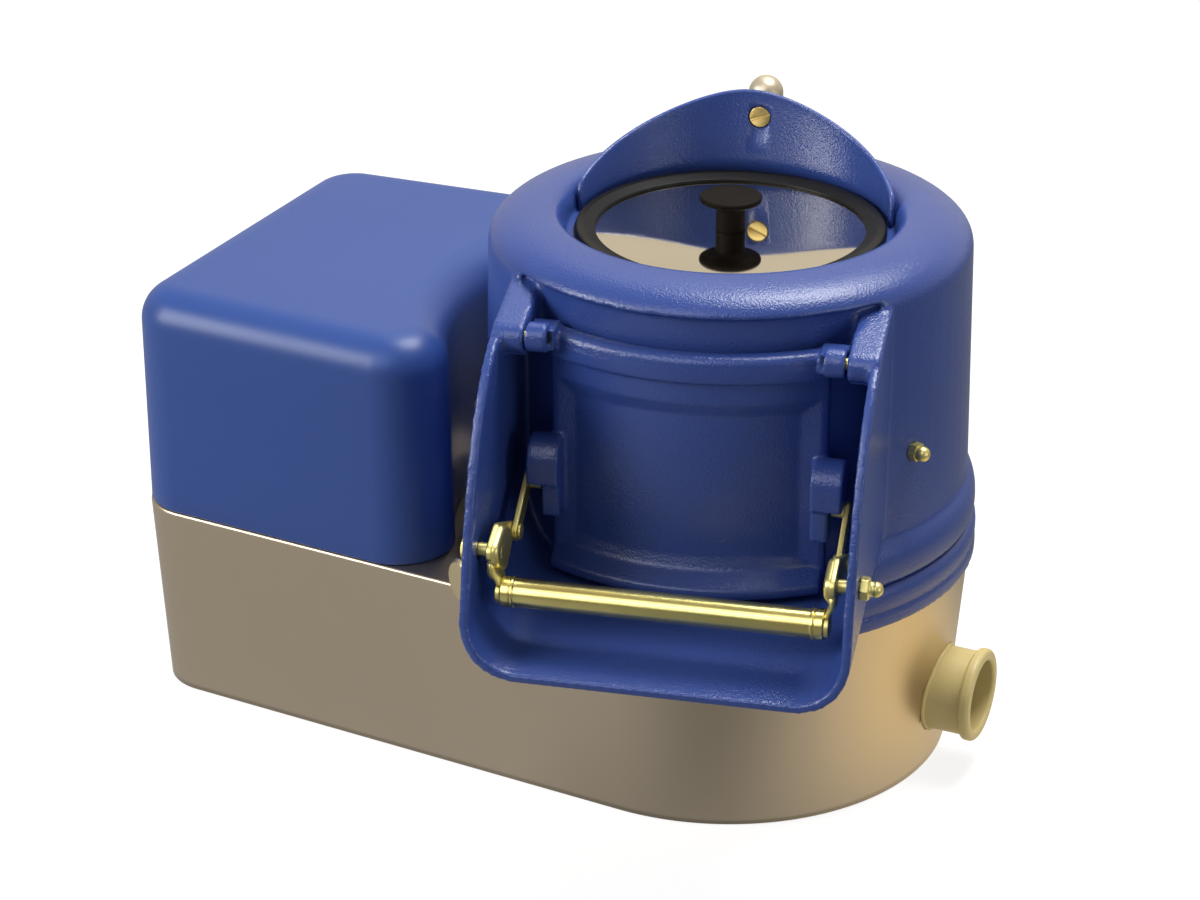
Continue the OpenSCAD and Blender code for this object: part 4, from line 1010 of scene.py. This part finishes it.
def ring_round(corners, radius):
    """A closed outline at the distance radius outside a left-turning ring of corners: an arc at each."""
    corners = np.array(corners, float)
    leave = np.roll(corners, -1, axis=0) - corners
    heading = np.degrees(np.arctan2(leave[:, 1], leave[:, 0]))
    return np.vstack([
        arc(here, radius, before - 90, before - 90 + (after - before) % 360, 9)
        for here, before, after in zip(corners, np.roll(heading, 1), heading)
    ])


def lever(corners, radius, near, far, edge_near, edge_far):
    """A flat lever from near to far across the chute: its outline lies at a radius round the corners
    and shrinks along a quarter circle at each face."""
    step = np.radians(np.linspace(0, 90, 7))
    levels = [(near + edge_near * (1 - math.sin(a)), edge_near * (1 - math.cos(a))) for a in step[::-1]]
    levels += [(far - edge_far * (1 - math.sin(a)), edge_far * (1 - math.cos(a))) for a in step]
    rings = [ring_round(corners, radius - inset) for _, inset in levels]
    count = len(rings[0])
    points = np.vstack([np.column_stack([np.full(count, t), ring]) for (t, _), ring in zip(levels, rings)])
    return points, capped(len(levels), count)


def stem(inner, outer, half_width):
    """A bent strip: its two faces are lines of points (across, up), and it reaches half_width to
    either side of its middle at each."""
    ring = np.vstack([inner, outer[::-1]]).astype(float)
    wide = np.concatenate([half_width, half_width[::-1]])
    sides = [np.column_stack([ring[:, 0], STEM_U + s * wide, ring[:, 1]]) for s in (-1, 1)]
    return np.vstack(sides), capped(2, len(ring))


def both_sides(*shapes):
    """The shapes, given as (across, out, up), on the right and mirrored on the left of the chute."""
    both = []
    for points, faces in shapes:
        for side in (-1, 1):
            placed = points @ np.stack([side * ACROSS, OUT, UP])
            both.append((placed * MM, [list(face)[::side] for face in faces]))
    return both


# Each crank is a flat plate with a thick lobe on the inside. A stem that bends
# inwards and tapers runs down from it to the foot on the bar.
PLATE_IN, PLATE_OUT, LOBE_IN, LOBE_OUT, STRIP, STEM_U = 83.5, 86.4, 80.2, 85.4, 2.5, 170.0
PLATE = [(137.5, 168.5), (158.0, 166.5), (176.5, 176.0), (164.5, 180.5)]
LOBE = [(156.0, 170.5), (163.0, 164.5), (174.5, 173.0), (175.2, 175.8), (164.5, 179.4), (157.0, 175.5)]
FOOT = [(169.5, 152.0), (172.5, 152.0), (171.0, 153.0)]
STEM_TOP_HALF, STEM_LOW_HALF = 9.0, 5.4
bend = np.linspace(0, 1, 9)
ease = bend * bend * (3 - 2 * bend)
rise = np.concatenate([[171.0], 166.0 - 9.0 * bend, [BAR_Z]])
inner_face = np.concatenate([[PLATE_IN], PLATE_IN - (PLATE_IN - FOOT_IN) * ease, [FOOT_IN]])
inner_face = np.column_stack([inner_face, rise])
narrowing = STEM_TOP_HALF - (STEM_TOP_HALF - STEM_LOW_HALF) * ease
half_width = np.concatenate([[STEM_TOP_HALF], narrowing, [STEM_LOW_HALF]])
piece("crank_plates", *gather(*both_sides(
    lever(PLATE, 4.9, PLATE_IN, PLATE_OUT, 0.5, 0.9),
    lever(LOBE, 5.2, LOBE_IN, LOBE_OUT, 2.8, 0.5),
    stem(inner_face, inner_face + [STRIP, 0.0], half_width),
    lever(FOOT, 5.5, FOOT_IN, FOOT_IN + STRIP, 0.4, 0.4),
)), "handle", "zinc_gold", gold_zinc, "handle_plates")

# ---- Liner studs and cover screws: fixings in the latch's zinc ----
# Studs through the drum wall hold the abrasive liner, each with a small acorn
# nut outside. Four short screws hold the motor cover by its long sides.
dress(gold_zinc, "drum_studs", "cover_screws")

# ---- Guard screw and water inlet: brass screw, nickelled hose elbow ----
# The slotted screw goes through the guard into the elbow behind it. The elbow
# is cast in one piece with its hose tail and sits on the drum's shoulder.
brass = finish_of(
    "brass",
    mottled(160, 3, (0.62, 0.46, 0.16), (0.80, 0.64, 0.28)),
    uneven(0.26, (0.14, 300, 3)),
    metal=1.0,
    bumps=[grained(1600, 2, 0.00006, 0.3)],
)
softened("guard_screw_brass", "guard_screw", "base", brass, 0.1 * MM)
inlet_grey = finish_of(
    "inlet_nickel",
    mottled(70, 3, (0.52, 0.45, 0.33), (0.62, 0.55, 0.42)),
    uneven(0.34, (0.14, 120, 3)),
    metal=0.6,
    bumps=[grained(800, 2, 0.00012, 0.3)],
)
casting("inlet_elbow", "water_inlet", "base", inlet_grey, 0.7 * MM, 4)

# ---- Waste outlet: moulded beige pipe with a rolled rim ----
# The pipe goes through the wall of the base at the round end, on a bead of
# sealant, and a black rubber elbow joins it to the bowl under the drum.
beige = finish_of(
    "beige_moulding",
    mottled(24, 3, (0.74, 0.60, 0.25), (0.80, 0.655, 0.285)),
    uneven(0.34, (0.10, 60, 3)),
    bumps=[grained(500, 2, 0.00010, 0.18), grained(40, 1, 0.0008, 0.06)],
)
PIPE_R, BEAD_R, BEAD_OUT = 23 * MM, 1.3 * MM, 0.3 * MM
pipe_profile = rounded([
    (19.0, 112.0, 0.4), (21.5, 112.0, 0.4), (21.5, 119.0, 0.3), (23.0, 119.4, 0.3), (23.0, 144.4, 0.8),
    (25.2, 145.6, 1.4), (25.4, 151.0, 2.4), (19.0, 151.0, 1.6),
], 6) * MM
round_pipe = np.linspace(0, 2 * np.pi, 160, endpoint=False)
seam_y, seam_z = PIPE_R * np.cos(round_pipe), WASTE_Z + PIPE_R * np.sin(round_pipe)
seam = np.column_stack([np.sqrt(wall_radius(seam_z) ** 2 - seam_y ** 2) + BEAD_OUT, seam_y, seam_z])


def bead(path, radius, steps=16):
    """A closed round bead along a closed path: circles of that radius square to the path's direction."""
    along = unit(np.roll(path, -1, axis=0) - np.roll(path, 1, axis=0))
    side = unit(np.cross(along, [1.0, 0.0, 0.0]))
    turn = np.linspace(0, 2 * np.pi, steps, endpoint=False)[None, :, None]
    around = np.cos(turn) * side[:, None] + np.sin(turn) * np.cross(along, side)[:, None]
    return (path[:, None] + radius * around).reshape(-1, 3), grid_faces(len(path), steps, wrap_rows=True)


piece("waste_pipe", *gather(
    turned(pipe_profile, 128, place_on((0, 0, WASTE_Z), (1, 0, 0))),
    bead(seam, BEAD_R),
), "base", "beige_plastic", beige, "waste_outlet")
dress(black_rubber, "drain_elbow")

# ---- Clamp knob: turned disc on the screw that clamps drum to base ----
# The disc is turned from steel and its edges are broken. It sits on the end of
# a zinc-plated screw in the base ring, beside the chute's left cheek.
CLAMP_TURN, CLAMP_Z = math.radians(-33), 124.5 * MM
clamp_axis = np.array([math.sin(CLAMP_TURN), -math.cos(CLAMP_TURN), 0.0])
turned_steel = finish_of(
    "turned_steel",
    mottled(80, 3, (0.72, 0.60, 0.36), (0.86, 0.74, 0.48)),
    uneven(0.26, (0.12, 200, 3)),
    metal=1.0,
    bumps=[grained(900, 2, 0.00008, 0.2)],
)
clamp_profile = rounded([
    (0.0, 162.6), (3.05, 162.5, 0.2), (3.05, 150.8, 0.2), (8.0, 150.8, 0.5), (8.0, 158.5, 1.0),
    (12.5, 158.5, 0.8), (12.5, 164.8, 1.2), (10.6, 166.5, 1.2), (0.0, 166.5),
], 6) * MM
piece(
    "clamp_disc",
    *turned(clamp_profile, 96, place_on((0, 0, CLAMP_Z), clamp_axis)),
    "clamp_knob", "polished", turned_steel, "clamp_knob",
)
dress(gold_zinc, "clamp_screw")

# ---- Controls and cable gland on the back ----
# A black box with a green start button and a red stop button is screwed to the
# motor cover. The gland, low on the base, holds the power cord where it enters.
black_plastic = finish_of(
    "black_plastic",
    mottled(200, 2, (0.018, 0.018, 0.019), (0.028, 0.028, 0.030)),
    uneven(0.38, (0.14, 400, 2)),
    bumps=[grained(1100, 2, 0.0001, 0.3)],
)
green_plastic, red_plastic = [
    finish_of(
        name,
        mottled(120, 2, low, high),
        uneven(0.30, (0.10, 300, 2)),
        bumps=[grained(900, 2, 0.00008, 0.2)],
    )
    for name, low, high in (
        ("green_plastic", (0.020, 0.22, 0.055), (0.028, 0.27, 0.07)),
        ("red_plastic", (0.42, 0.020, 0.016), (0.50, 0.028, 0.022)),
    )
]
softened("switch_box", "switch_plate", "base", black_plastic, 1 * MM)
softened("start_cap", "start_button", "start_button", green_plastic, 0.6 * MM, 20.0)
softened("stop_cap", "stop_button", "stop_button", red_plastic, 0.6 * MM, 20.0)
softened("gland_nut", "cable_gland", "base", black_plastic, 0.5 * MM)

# ---- Works inside: liner, peeling plate, spindle, motor and belt drive ----
# The liner and the plate are coated with grit. The plate sits on a ground
# spindle in a raw cast housing, and a belt from the motor turns it.
grit = finish_of(
    "abrasive_grit",
    lambda t: blend_colour(t, noise(t, 900, 3, 0.7), (0.030, 0.029, 0.028), (0.16, 0.15, 0.14)),
    uneven(0.55, (0.3, 1200, 2)),
    bumps=[(lambda t: add(t, "TexVoronoi", {"Vector": object_place(t), "Scale": 650.0}), 0.0008, 0.8)],
)
raw_casting = finish_of(
    "raw_casting",
    mottled(80, 4, (0.34, 0.34, 0.34), (0.46, 0.46, 0.46)),
    uneven(0.50, (0.16, 200, 3)),
    metal=0.8,
    bumps=[grained(500, 3, 0.0003, 0.4)],
)
ground_steel = finish_of(
    "ground_steel",
    mottled(140, 3, (0.50, 0.50, 0.51), (0.64, 0.64, 0.65)),
    uneven(0.22, (0.12, 400, 3)),
    metal=1.0,
    bumps=[grained(1500, 2, 0.00006, 0.25, (1, 1, 6))],
)
motor_grey = finish_of(
    "motor_grey",
    mottled(60, 3, (0.060, 0.070, 0.080), (0.085, 0.095, 0.105)),
    uneven(0.45, (0.12, 200, 3)),
    bumps=[grained(700, 3, 0.0002, 0.3)],
)
dress(grit, "wall_liner", "peeling_plate")
dress(raw_casting, "spindle_housing", "spindle_pulley", "motor_pulley", "motor_bracket")
dress(ground_steel, "spindle", "spindle_bearings", "motor_shaft")
dress(motor_grey, "motor")
dress(black_rubber, "door_gasket", "drive_belt", "shaft_seal")
